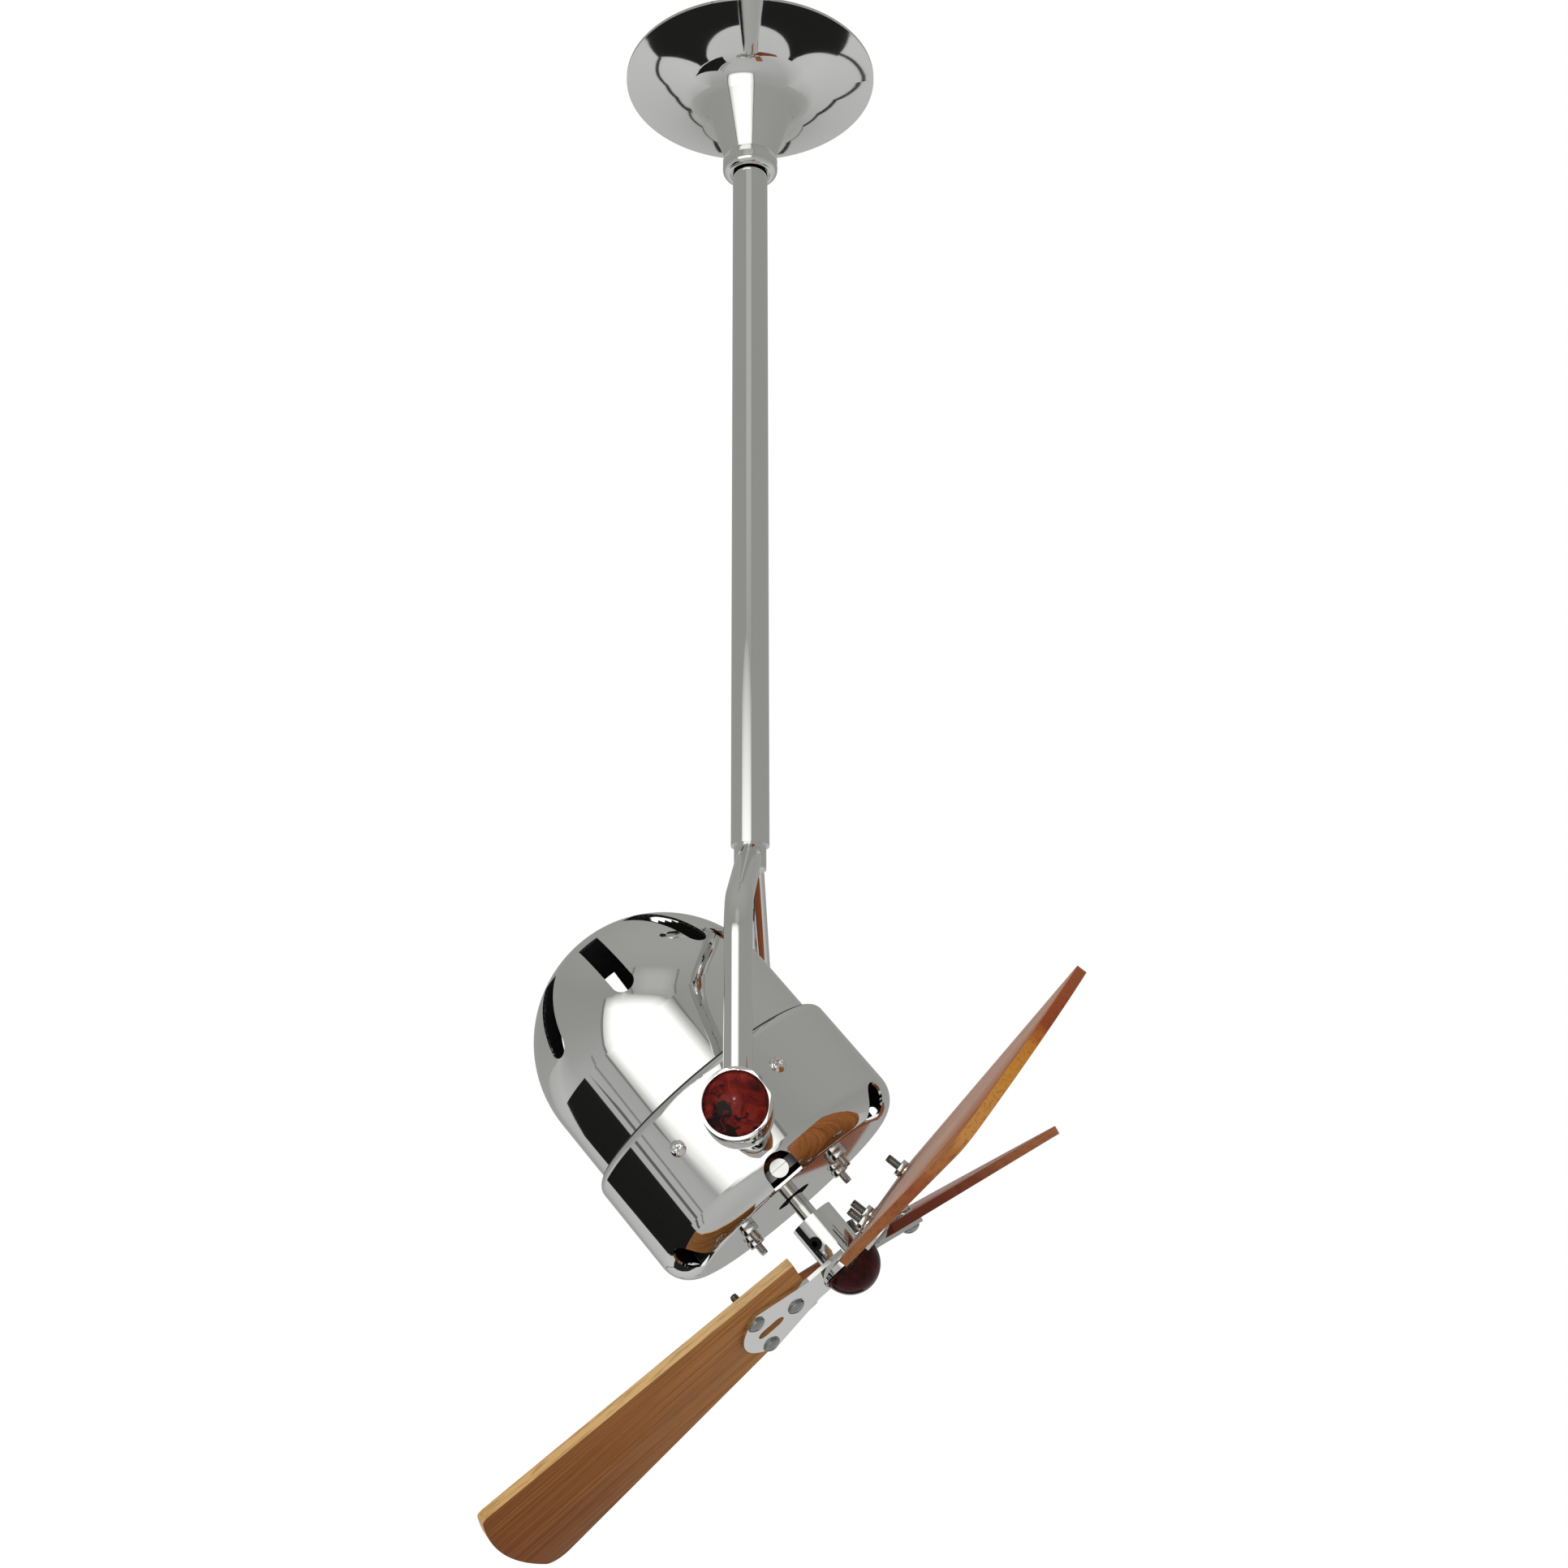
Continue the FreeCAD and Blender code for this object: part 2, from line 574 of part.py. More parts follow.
# A round rod along the middle line of an arm
def arm_rod(radius):
    circle = doc.addObject("Part::Circle", "circle")
    bind(circle, Radius=radius)
    located(circle, "arm_offset", 0, "arm_end")
    rod = doc.addObject("Part::Sweep", "arm_rod")
    rod.Sections = [circle]
    rod.Spine = (arm_line, ["Edge1", "Edge2", "Edge3"])
    rod.Solid = True
    rod.Frenet = False
    return rod


# Yoke arms: hollow tubes, cut to fit round the stem
arm_tube = cut(arm_rod("arm_radius"), arm_rod("arm_radius - arm_wall"),
               cylinder("stem_radius", "2 * arm_crown"))
for side, angle in (("front", -90), ("rear", 90)):
    turn = Rotation(Vector(0, 0, 1), angle)
    piece(placed(arm_tube, Placement()), f"yoke_arm_{side}", Placement(pivot_point, turn))
way_height = f"-pivot_drop + arm_crown - stem_radius * {arm_rise} / arm_offset"
wire_ways = [
    cylinder("arm_radius - 2 * arm_wall", "2 * stem_radius", 0, start, way_height, to_front)
    for start in (0, "2 * stem_radius")
]
piece(cut(stem, *wire_ways), "yoke_stem")
piece(ring("spindle_radius + run_fit", "stem_radius - loose_fit", bush_high, nut_low),
      "swivel_washer")
swivel_nut = cut(
    hexagon("stem_radius - loose_fit", "swivel_nut", 0, 0, nut_low),
    cylinder("spindle_radius", "3 * swivel_nut", 0, 0, f"{nut_low} - swivel_nut"))
piece(swivel_nut, "swivel_nut")

# Tilt pivots, one on each side: lengths run outwards from the head axis
bush_inner = "cup_radius - cup_wall - bush_nut_gap - bush_nut - loose_fit"
bush_outer = "boss_back - 2 * washer_height"
pocket = "boss_front - pocket_floor"
seat = "boss_front - cap_seat"
cap_radius = "boss_radius - boss_lip"
pairs = {"pivot_nuts": [], "friction_washers": [], "spring_washers": [], "bush_nuts": []}
for side, place in sides.items():
    # Boss: a deep cup on the lower end of the arm
    boss = lathe((
        ("nipple_radius", "boss_back"),
        ("boss_radius - boss_round", "boss_back"),
        ("boss_radius", "boss_back + boss_round", quarter),
        ("boss_radius", "boss_front"),
        (cap_radius, "boss_front"),
        (cap_radius, seat),
        ("boss_step", seat),
        ("boss_step", pocket),
        ("nipple_radius", pocket)))
    socket = cylinder("arm_radius", "2 * boss_radius", 0, "arm_end", "arm_offset",
                      Rotation(Vector(1, 0, 0), -90))
    piece(cut(boss, socket), f"pivot_boss_{side}", place)

    # Nipple: a hollow threaded pin that lets the wires into the head
    nipple_end = f"{seat} - loose_fit"
    flange = f"{bush_inner} - loose_fit"
    nipple = lathe((
        ("nipple_bore", f"{flange} - flange_height"),
        ("nipple_flange", f"{flange} - flange_height"),
        ("nipple_flange", flange),
        ("nipple_radius", flange),
        ("nipple_radius", nipple_end),
        ("nipple_bore", nipple_end)))
    piece(nipple, f"pivot_nipple_{side}", place)
    pivot_nut = cut(
        hexagon("pivot_nut_radius", "pivot_nut", 0, 0, pocket),
        cylinder("nipple_radius", "3 * pivot_nut", 0, 0, f"{pocket} - pivot_nut"))
    pairs["pivot_nuts"].append(placed(pivot_nut, place))
    friction = ring("nipple_radius + run_fit", "washer_radius", bush_outer,
                    "boss_back - washer_height")
    pairs["friction_washers"].append(placed(friction, place))
    spring = ring("nipple_radius + run_fit", "washer_radius - loose_fit",
                  "boss_back - washer_height", "boss_back")
    pairs["spring_washers"].append(placed(spring, place))

    # Domed cap over the nut
    cap_bulge = crown_bulge("cap_rise", f"{cap_radius} - run_fit")
    cap = lathe((
        (0, seat),
        (f"{cap_radius} - run_fit", seat),
        (f"{cap_radius} - run_fit", f"{seat} + cap_seat / 2"),
        (0, f"{seat} + cap_seat / 2 + cap_rise", cap_bulge)))
    piece(cap, f"pivot_cap_{side}", place)

    # Bush of the head, clamped in the cup wall, turning on the nipple
    bush = lathe((
        ("nipple_radius + run_fit", bush_inner),
        ("bush_neck", bush_inner),
        ("bush_neck", "cup_radius + bush_seat"),
        ("bush_collar", "cup_radius + bush_seat"),
        ("bush_collar", bush_outer),
        ("nipple_radius + run_fit", bush_outer)))
    piece(bush, f"pivot_bush_{side}", place)
    bush_nut = cut(
        hexagon("bush_nut_radius", "bush_nut", 0, 0, f"{bush_inner} + loose_fit"),
        cylinder("bush_neck", "3 * bush_nut", 0, 0, bush_inner))
    pairs["bush_nuts"].append(placed(bush_nut, place))
for name, pair in pairs.items():
    piece(grouped(*pair), name)

# Front cup: a drawn shell with a turned-in lip, vents across its front corner and a flat face
lip_radius = "dome_radius + loose_fit"
inside = "cup_radius - cup_wall"
cup = lathe((
    (lip_radius, "-cup_lip"),
    ("cup_radius", "-cup_lip + lip_round", quarter),
    ("cup_radius", "face_front - face_round"),
    ("cup_radius - face_round", "face_front", quarter),
    ("face_hole", "face_front"),
    ("face_hole", "face_front - cup_wall"),
    ("cup_radius - face_round", "face_front - cup_wall"),
    (inside, "face_front - face_round", -quarter),
    (inside, "-cup_lip + lip_round"),
    (lip_radius, "-cup_lip + cup_wall", -quarter)))
half_square = "stud_half"
corners = [(x, y) for x in (-1, 1) for y in (-1, 1)]
stud_holes = [
    cylinder("stud_radius + run_fit", "4 * cup_wall", f"{x} * {half_square}",
             f"{y} * {half_square}", "face_front - 2 * cup_wall")
    for x, y in corners
]
vent_depth = "face_front + cup_wall - vent_back - vent_width / 2"
vent = joined(
    cylinder("vent_width / 2", "cup_radius", "vent_floor", 0, "vent_back + vent_width / 2",
             toward_x),
    box("cup_radius", "vent_width", vent_depth, "vent_floor", "-vent_width / 2",
        "vent_back + vent_width / 2"))
doc.recompute()
vents = turned_copies(vent, "vent_count", 90.0)
side_angles = [
    base + sign * size("side_screw_angle") for base in (90, 270) for sign in (-1, 1)
]
side_turns = [Rotation(Vector(0, 0, 1), angle).multiply(toward_x) for angle in side_angles]
side_holes = [
    cylinder("side_screw_radius", "2 * cup_radius", 0, 0, "-side_screw_back", turn)
    for turn in side_turns
]
pivot_holes = [
    cylinder("bush_neck + run_fit", "4 * cup_radius", 0, "2 * cup_radius", 0, to_front)
]
piece(cut(cup, *stud_holes, *vents, *side_holes, *pivot_holes), "front_cup", head_place)

# Rear dome: a straight skirt and a half sphere, slotted all round
dome_inside = "dome_radius - cup_wall"
dome = lathe((
    (dome_inside, "-dome_skirt"),
    (dome_inside, "-dome_centre"),
    (0, "-dome_centre - dome_radius + cup_wall", -quarter),
    (0, "-dome_centre - dome_radius"),
    ("dome_radius", "-dome_centre", quarter),
    ("dome_radius", "-dome_skirt")))
slit_turn = Rotation(Vector(0, 1, 0), 180 - size("slit_angle"))
slit_centre = Vector(0, 0, -size("dome_centre"))
slit_half = "slit_length / 2"
slit_box = box("slit_length - slit_width / 2", "slit_width", "2 * cup_wall + dome_radius / 4",
               f"-{slit_half} + slit_width / 2", "-slit_width / 2", "0.8 * dome_radius")
slit_end = cylinder("slit_width / 2", "2 * cup_wall + dome_radius / 4",
                    f"-{slit_half} + slit_width / 2", 0, "0.8 * dome_radius")
slit = joined(slit_box, slit_end)
slit.Placement = Placement(slit_centre, slit_turn)
doc.recompute()
slits = turned_copies(slit, "slit_count", 90.0)
skirt_pivots = [
    cylinder("bush_nut_radius + loose_fit", "4 * dome_radius", 0, "2 * dome_radius", 0, to_front)
]
skirt_holes = [
    cylinder("side_screw_radius", "2 * dome_radius", 0, 0, "-side_screw_back", turn)
    for turn in side_turns
]
piece(cut(dome, *slits, *skirt_pivots, *skirt_holes), "rear_dome", head_place)

# Side screws that hold the dome in the cup
head_round = crown_bulge("side_head_height", "side_head_radius")
side_screw = lathe((
    (0, f"{dome_inside} - side_head_height"),
    ("side_screw_radius", f"{dome_inside} - side_head_height"),
    ("side_screw_radius", "cup_radius"),
    ("side_head_radius", "cup_radius"),
    (0, "cup_radius + side_head_height", head_round)))
recess = [
    box("side_head_radius", "side_head_radius / 4", "2 * side_head_height",
        "-side_head_radius / 2", "-side_head_radius / 8",
        "cup_radius + side_head_height / 2"),
    box("side_head_radius / 4", "side_head_radius", "2 * side_head_height",
        "-side_head_radius / 8", "-side_head_radius / 2",
        "cup_radius + side_head_height / 2"),
]
crossed = cut(side_screw, *recess)
doc.recompute()
side_screws = [
    placed(crossed, Placement(Vector(0, 0, -size("side_screw_back")), turn))
    for turn in side_turns
]
piece(grouped(*side_screws), "housing_screws", head_place)

# Motor: stator with its coils between two end brackets on four studs
stator_back = "stator_front - stator_length"
stud_places = [(f"{x} * {half_square}", f"{y} * {half_square}") for x, y in corners]


def stud_bores(low, length):
    return [cylinder("stud_radius", length, x, y, low) for x, y in stud_places]


stator = cut(ring("stator_bore", "stator_radius", stator_back, "stator_front"),
             *stud_bores(f"{stator_back} - 1", "stator_length + 2"))
piece(stator, "stator_stack", head_place)
piece(ring("coil_inner", "coil_radius", "stator_front", "stator_front + coil_height"),
      "coil_front", head_place)
piece(ring("coil_inner", "coil_radius", f"{stator_back} - coil_height", stator_back),
      "coil_rear", head_place)
boss_outer = "bearing_radius + boss_wall"
front_low = "shield_front - shield_sheet"
front_high = f"{front_low} + bearing_length"
front_shield = lathe((
    ("bearing_radius", front_low),
    ("shield_radius", front_low),
    ("shield_radius", "shield_front"),
    (boss_outer, "shield_front"),
    (boss_outer, front_high),
    ("bearing_radius", front_high)))
earth_level = "shield_front - shield_sheet / 2"
earth_start = "shield_radius - earth_length"
earth_hole = cylinder("earth_radius", "2 * earth_length", 0, f"-({earth_start})",
                      earth_level, to_front)
piece(cut(front_shield, earth_hole, *stud_bores(f"{front_low} - 1", "shield_sheet + 2")),
      "front_bracket", head_place)
rear_high = "-shield_back + shield_sheet"
rear_low = f"{rear_high} - bearing_length"
rear_shield = lathe((
    ("bearing_radius", rear_low),
    (boss_outer, rear_low),
    (boss_outer, "-shield_back"),
    ("shield_radius", "-shield_back"),
    ("shield_radius", rear_high),
    ("bearing_radius", rear_high)))
piece(cut(rear_shield, *stud_bores("-shield_back - 1", "shield_sheet + 2")),
      "rear_bracket", head_place)
piece(ring("shaft_radius + run_fit", "bearing_radius", front_low, front_high),
      "front_bearing", head_place)
piece(ring("shaft_radius + run_fit", "bearing_radius", rear_low, rear_high),
      "rear_bearing", head_place)
studs = [
    joined(
        cylinder("stud_radius", "stud_front + shield_back", x, y, "-shield_back"),
        hexagon("stud_nut_radius", "stud_nut", x, y, "-shield_back - stud_nut"))
    for x, y in stud_places
]
piece(grouped(*studs), "motor_studs", head_place)
face_inside = "face_front - cup_wall"
stud_nuts = []
for low, height in (("shield_front", f"{face_inside} - shield_front"), ("face_front", "stud_nut")):
    for x, y in stud_places:
        stud_nuts.append(cut(
            hexagon("stud_nut_radius", height, x, y, low),
            cylinder("stud_radius", "4 * stud_nut", x, y, f"{low} - stud_nut")))
piece(grouped(*stud_nuts), "stud_nuts", head_place)
spacers = []
for low, height in (("stator_front", f"{front_low} - stator_front"),
                    (rear_high, f"{stator_back} - ({rear_high})")):
    for x, y in stud_places:
        spacers.append(cut(
            cylinder("spacer_radius", height, x, y, low),
            cylinder("stud_radius", f"3 * ({height})", x, y, f"{low} - ({height})")))
piece(grouped(*spacers), "stud_spacers", head_place)

# Run capacitor in its clip on the rear bracket
foot_low = "-shield_back - clip_sheet"
clip = joined(
    box("clip_width", "clip_sheet", "capacitor_height + clip_sheet", "-clip_width / 2",
        "capacitor_offset - clip_sheet", f"{foot_low} - capacitor_height"),
    box("clip_width", "capacitor_width", "clip_sheet", "-clip_width / 2", "capacitor_offset",
        foot_low))
piece(clip, "capacitor_clip", head_place)
capacitor = box("capacitor_length", "capacitor_width", "capacitor_height",
                "-capacitor_length / 2", "capacitor_offset", f"{foot_low} - capacitor_height")
piece(grouped(capacitor), "run_capacitor", head_place)

# Earth screw with a slotted cheese head in the rim of the front bracket, behind a front vent
earth = cut(
    joined(
        cylinder("earth_radius", "earth_length", 0, f"-({earth_start})", earth_level, to_front),
        cylinder("earth_head_radius", "earth_head", 0, "-shield_radius", earth_level, to_front)),
    box("4 * earth_head_radius", "earth_head", "earth_slot", "-2 * earth_head_radius",
        "-shield_radius - 1.5 * earth_head", f"{earth_level} - earth_slot / 2"))
piece(earth, "earth_screw", head_place)

# Rotor: core, shaft and thrust washers
core_front = "stator_front - (stator_length - rotor_length) / 2"
core_back = f"{core_front} - rotor_length"
piece(ring("shaft_radius", "stator_bore - rotor_gap", core_back, core_front),
      "rotor_core", head_place)
shaft_back = f"{rear_low} - shaft_tail"
shaft = cylinder("shaft_radius", f"shaft_front - ({shaft_back})", 0, 0, shaft_back)
piece(grouped(shaft), "motor_shaft", head_place)
thrust = grouped(
    ring("shaft_radius", "bearing_radius", f"{front_low} - thrust_gap - thrust_height",
         f"{front_low} - thrust_gap"),
    ring("shaft_radius", "bearing_radius", f"{rear_high} + thrust_gap",
         f"{rear_high} + thrust_gap + thrust_height"))
piece(thrust, "thrust_washers", head_place)

# Hub with its set screw
hub_body = lathe((
    ("shaft_radius", "hub_back"),
    ("hub_radius", "hub_back"),
    ("hub_radius", "hub_front"),
    ("stud_radius", "hub_front"),
    ("stud_radius", "shaft_front"),
    ("shaft_radius", "shaft_front")))
set_height = "hub_back + set_screw_back"
set_hole = cylinder("set_screw_radius", "2 * hub_radius", 0, 0, set_height, to_front)
set_turn = Placement(Vector(), Rotation(Vector(0, 0, 1), size("set_screw_angle")))
piece(cut(hub_body, placed(set_hole, set_turn)), "hub", head_place)
set_screw = cut(
    cylinder("set_screw_radius", "hub_radius + set_screw_proud - shaft_radius", 0,
             "-shaft_radius", set_height, to_front),
    hexagon("set_screw_radius / 2", "hub_radius", 0, "-shaft_radius - hub_radius / 3",
            set_height, to_front),
    cylinder("shaft_radius", "4 * set_screw_radius", 0, 0,
             f"{set_height} - 2 * set_screw_radius"))
piece(placed(set_screw, Placement()), "hub_set_screw", head_place.multiply(set_turn))


# Place of a blade: turned about the rotor axis, then pitched about its own middle line
def blade_place(index):
    turn = Rotation(Vector(0, 0, 1), -index * 360.0 / size("blade_count"))
    pitch = Rotation(Vector(1, 0, 0), size("blade_pitch"))
    raised = Placement(Vector(0, 0, size("blade_plane")), upright)
    return Placement(Vector(), turn).multiply(raised).multiply(Placement(Vector(), pitch))


screw_places = (
    ("screw_inner", "-iron_shift"),
    ("screw_outer", "-iron_shift - screw_half"),
    ("screw_outer", "-iron_shift + screw_half"),
)


def screw_bores(low, length):
    return [cylinder("blade_screw_radius", length, x, y, low) for x, y in screw_places]


# One flat iron: a waisted paddle with a round end, three screw holes and a slot
iron_bulge = size("(iron_end - iron_wide) / iron_half")
paddle = plate((
    (0, "-iron_shift - iron_waist"),
    ("iron_waist_reach", "-iron_shift - iron_waist"),
    ("iron_wide", "-iron_shift - iron_half"),
    ("iron_wide", "-iron_shift + iron_half", iron_bulge),
    ("iron_waist_reach", "-iron_shift + iron_waist"),
    (0, "-iron_shift + iron_waist")), "iron_sheet")
slot_ends = [
    cylinder("iron_slot_radius", "4 * iron_sheet", f"iron_slot_reach + {end} * iron_slot_half",
             "-iron_shift", "-iron_sheet")
    for end in (-1, 1)
]
slot_middle = box("2 * iron_slot_half", "2 * iron_slot_radius", "4 * iron_sheet",
                  "iron_slot_reach - iron_slot_half", "-iron_shift - iron_slot_radius",
                  "-iron_sheet")
iron = cut(paddle, slot_middle, *slot_ends, *screw_bores("-iron_sheet", "4 * iron_sheet"))

# Blade: a board that widens to a tip rounded about the rotor axis, with its two corners eased
tip_lead = "sqrt(sweep_radius ^ 2 - lead_tip ^ 2)"
tip_trail = "sqrt(sweep_radius ^ 2 - trail_tip ^ 2)"
tip_half_angle = (math.asin(size("lead_tip / sweep_radius"))
                  + math.asin(size("trail_tip / sweep_radius"))) / math.pi * 90
board = plate((
    ("blade_root", "-lead_root"),
    (tip_lead, "-lead_tip"),
    (tip_trail, "trail_tip", math.tan(math.radians(tip_half_angle / 2))),
    ("blade_root", "trail_root")), "blade_sheet")


# The upright edge of a board at one of its corners
def edge_name(body, x, y):
    corner = Vector(x, y, size("blade_sheet") / 2)
    lengths = [
        corner.distanceToPoint(edge.CenterOfMass) for edge in body.Shape.Edges
    ]
    return f"Edge{lengths.index(min(lengths)) + 1}"


for x, y, radius in ((tip_lead, "-lead_tip", "lead_round"),
                     (tip_trail, "trail_tip", "trail_round")):
    previous = board.Tip
    edge = edge_name(board, size(x), size(y))
    rounding = board.newObject("PartDesign::Fillet", "rounding")
    rounding.Base = (previous, [edge])
    bind(rounding, Radius=radius)
    doc.recompute()
board.Placement = Placement(Vector(0, 0, -size("blade_sheet")), upright)
drilled = cut(board, *screw_bores("-2 * blade_sheet", "3 * blade_sheet"))
doc.recompute()

# Blade fasteners
head_bulge = crown_bulge("0.75 * blade_head", "blade_head_radius")
screw_body = lathe((
    (0, "-blade_sheet - blade_screw_tail"),
    ("blade_screw_radius", "-blade_sheet - blade_screw_tail"),
    ("blade_screw_radius", "iron_sheet"),
    ("blade_head_radius", "iron_sheet"),
    ("blade_head_radius", "iron_sheet + blade_head / 4"),
    (0, "iron_sheet + blade_head", head_bulge)))
washer_body = ring("blade_screw_radius", "blade_washer_radius", "-blade_sheet - blade_washer",
                   "-blade_sheet")
nut_low = "-blade_sheet - blade_washer - blade_nut"
nut_body = cut(
    hexagon("blade_nut_radius", "blade_nut", 0, 0, nut_low),
    cylinder("blade_screw_radius", "3 * blade_nut", 0, 0, f"{nut_low} - blade_nut"))
doc.recompute()
irons = []
fasteners = {"blade_screws": screw_body, "blade_washers": washer_body, "blade_nuts": nut_body}
fastener_copies = {name: [] for name in fasteners}
for index in range(int(size("blade_count"))):
    place = blade_place(index)
    irons.append(placed(iron, place))
    piece(placed(drilled, Placement()), f"blade_{index + 1}", head_place.multiply(place))
    for name, body in fasteners.items():
        for x, y in screw_places:
            spot = Placement(Vector(size(x), size(y), 0), upright)
            fastener_copies[name].append(placed(body, place.multiply(spot)))
for name, copies in fastener_copies.items():
    piece(grouped(*copies), name, head_place)

# Spider: the three irons on one centre disc, drilled for the nose stud
disc_front = "blade_plane + iron_sheet"
disc = cylinder("iron_disc", f"{disc_front} - hub_front", 0, 0, "hub_front")
below = cylinder("iron_disc", "iron_disc", 0, 0, "hub_front - iron_disc")
above = cylinder("iron_disc", "iron_disc", 0, 0, disc_front)
stud_hole = cylinder("stud_radius", "4 * iron_disc", 0, 0, "hub_front - 2 * iron_disc")
spider = joined(cut(joined(*irons), below, above), disc)
piece(cut(spider, stud_hole), "blade_spider", head_place)

# Nose cap on its stud
nose_top = f"{disc_front} + nose_height"
nose_bulge = crown_bulge("nose_height - 1.5", "nose_radius")
nose = lathe((
    ("stud_radius", disc_front),
    ("nose_radius - 1.2", disc_front),
    ("nose_radius", f"{disc_front} + 1.5", quarter),
    (0, nose_top, nose_bulge),
    (0, f"{disc_front} + nose_grip"),
    ("stud_radius", f"{disc_front} + nose_grip")))
piece(nose, "nose_cap", head_place)
stud_low = f"{disc_front} + nose_grip - nose_stud"
nose_stud = grouped(cylinder("stud_radius", "nose_stud", 0, 0, stud_low))
piece(nose_stud, "nose_stud", head_place)

doc.recompute()
for item in doc.Objects:
    if "Invalid" in item.State or "Error" in item.State:
        raise RuntimeError(f"{item.Name} {item.Label} failed: {item.State}")
names = [item.Label for item in pieces]
if len(set(names)) != len(names):
    raise RuntimeError("two sub-parts share a name")
os.makedirs("parts", exist_ok=True)
for item in pieces:
    if item.Shape.isNull() or not item.Shape.isValid():
        raise RuntimeError(f"{item.Label} has no valid shape")
    item.Shape.exportStep(f"parts/{item.Label}.step")
    print(item.Label, len(item.Shape.Solids), round(item.Shape.Volume, 1))
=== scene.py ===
import json
import math

import bmesh
import bpy
from mathutils import Matrix, Vector


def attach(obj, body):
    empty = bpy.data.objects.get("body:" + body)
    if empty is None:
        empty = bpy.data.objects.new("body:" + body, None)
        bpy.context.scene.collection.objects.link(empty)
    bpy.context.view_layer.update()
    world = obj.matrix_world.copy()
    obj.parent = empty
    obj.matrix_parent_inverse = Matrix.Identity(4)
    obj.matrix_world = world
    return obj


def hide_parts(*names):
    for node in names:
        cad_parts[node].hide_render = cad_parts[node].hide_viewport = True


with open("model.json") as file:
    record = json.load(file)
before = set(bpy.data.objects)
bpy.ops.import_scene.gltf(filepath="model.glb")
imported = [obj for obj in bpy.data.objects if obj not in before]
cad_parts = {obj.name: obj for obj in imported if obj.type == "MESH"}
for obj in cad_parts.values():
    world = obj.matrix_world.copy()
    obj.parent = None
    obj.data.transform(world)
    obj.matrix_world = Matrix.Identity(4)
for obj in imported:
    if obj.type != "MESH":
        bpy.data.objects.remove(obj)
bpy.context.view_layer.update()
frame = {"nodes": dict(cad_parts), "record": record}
nodes = frame["nodes"]
behaviour = frame["record"]["behaviour"]
joints = {joint["name"]: joint for joint in behaviour["joints"]}
bodyOf = {node: body for body, names in behaviour["bodies"].items() for node in names}
slotOf = {part["node"]: part["material_slot"] for part in frame["record"]["subparts"]}
print("frame loaded,", len(nodes), "nodes")

mm = 0.001
upward = Vector((0, 0, 1))

# the head looks along the rotor axis: local z forward, local y along the tilt axis
pivot = Vector(joints["head_tilt"]["pos_m"])
headZ = Vector(joints["rotor_spin"]["axis"])
headY = Vector(joints["head_tilt"]["axis"])
headX = headY.cross(headZ)
headMatrix = Matrix.Translation(pivot) @ Matrix((headX, headY, headZ)).transposed().to_4x4()
headBack = headMatrix.inverted()

bladeSet = {
    "count": 3,
    "plane": 69.4 * mm,  # pivot to the front face of the boards
    "pitch": math.radians(13.4),
    "sheet": 4.5 * mm,  # thickness of a board
    "washer": 0.8 * mm,
    "nut": 3.2 * mm,
    "tail": 10.5 * mm,  # length of a screw behind its board
    "edge": 1.2 * mm,  # width of the eased edge
    "edgeSteps": 3,
    "edgeTurn": 0.7,  # a face under this cosine to the board's face is sawn edge
}


# local x along the board, local z out of its front face
def bladeMatrix(index):
    turn = Matrix.Rotation(-index * math.tau / bladeSet["count"], 4, "Z")
    pitch = Matrix.Rotation(bladeSet["pitch"], 4, "X")
    return headMatrix @ turn @ Matrix.Translation((0, 0, bladeSet["plane"])) @ pitch


bladeFrames = [bladeMatrix(index) for index in range(bladeSet["count"])]


# one shader socket, so that shader maths reads as plain expressions
class Wire:
    def __init__(self, tree, socket=None):
        self.tree = tree
        self.socket = socket

    def feed(self, target, value):
        if isinstance(value, Wire):
            self.tree.links.new(value.socket, target)
        elif hasattr(target.default_value, "__len__") and len(target.default_value) == 4:
            target.default_value = tuple(value)[:3] + (1.0,)
        else:
            target.default_value = value

    # any node: its type, its settings, then its sockets by name or number
    def node(self, kind, settings=None, sockets=None, output=0):
        made = self.tree.nodes.new("ShaderNode" + kind)
        for name, value in (settings or {}).items():
            if name == "stops":
                ramp = made.color_ramp.elements
                while len(ramp) < len(value):
                    ramp.new(0.5)
                for stop, (place, colour) in zip(ramp, value):
                    stop.position = place
                    stop.color = tuple(colour) + (1.0,)
            else:
                setattr(made, name, value)
        for name, value in (sockets or {}).items():
            self.feed(made.inputs[name], value)
        return Wire(self.tree, made.outputs[output])

    def maths(self, operation, left, right):
        return self.node("Math", {"operation": operation}, {0: left, 1: right})

    def __add__(self, other):
        return self.maths("ADD", self, other)

    def __radd__(self, other):
        return self.maths("ADD", other, self)

    def __sub__(self, other):
        return self.maths("SUBTRACT", self, other)

    def __rsub__(self, other):
        return self.maths("SUBTRACT", other, self)

    def __mul__(self, other):
        return self.maths("MULTIPLY", self, other)

    def __rmul__(self, other):
        return self.maths("MULTIPLY", other, self)

    # x, y or z of a vector
    def part(self, axis):
        return self.node("SeparateXYZ", None, {0: self}, output=axis)

    def noise(self, scale, detail=2.0, roughness=0.5, distortion=0.0):
        return self.node("TexNoise", {"noise_dimensions": "3D"}, {
            "Vector": self, "Scale": scale, "Detail": detail,
            "Roughness": roughness, "Distortion": distortion})

    def ramp(self, stops):
        return self.node("ValToRGB", {"stops": stops}, {0: self})

    # a mask: 0 up to low, 1 from high on
    def between(self, low, high):
        return self.ramp(((low, (0, 0, 0)), (high, (1, 1, 1))))

    def mixed(self, low, high):
        return self.node("Mix", {"data_type": "RGBA"}, {0: self, 6: low, 7: high}, output=2)

    def bumped(self, strength, distance):
        return self.node("Bump", None, {
            "Height": self, "Strength": strength, "Distance": distance})


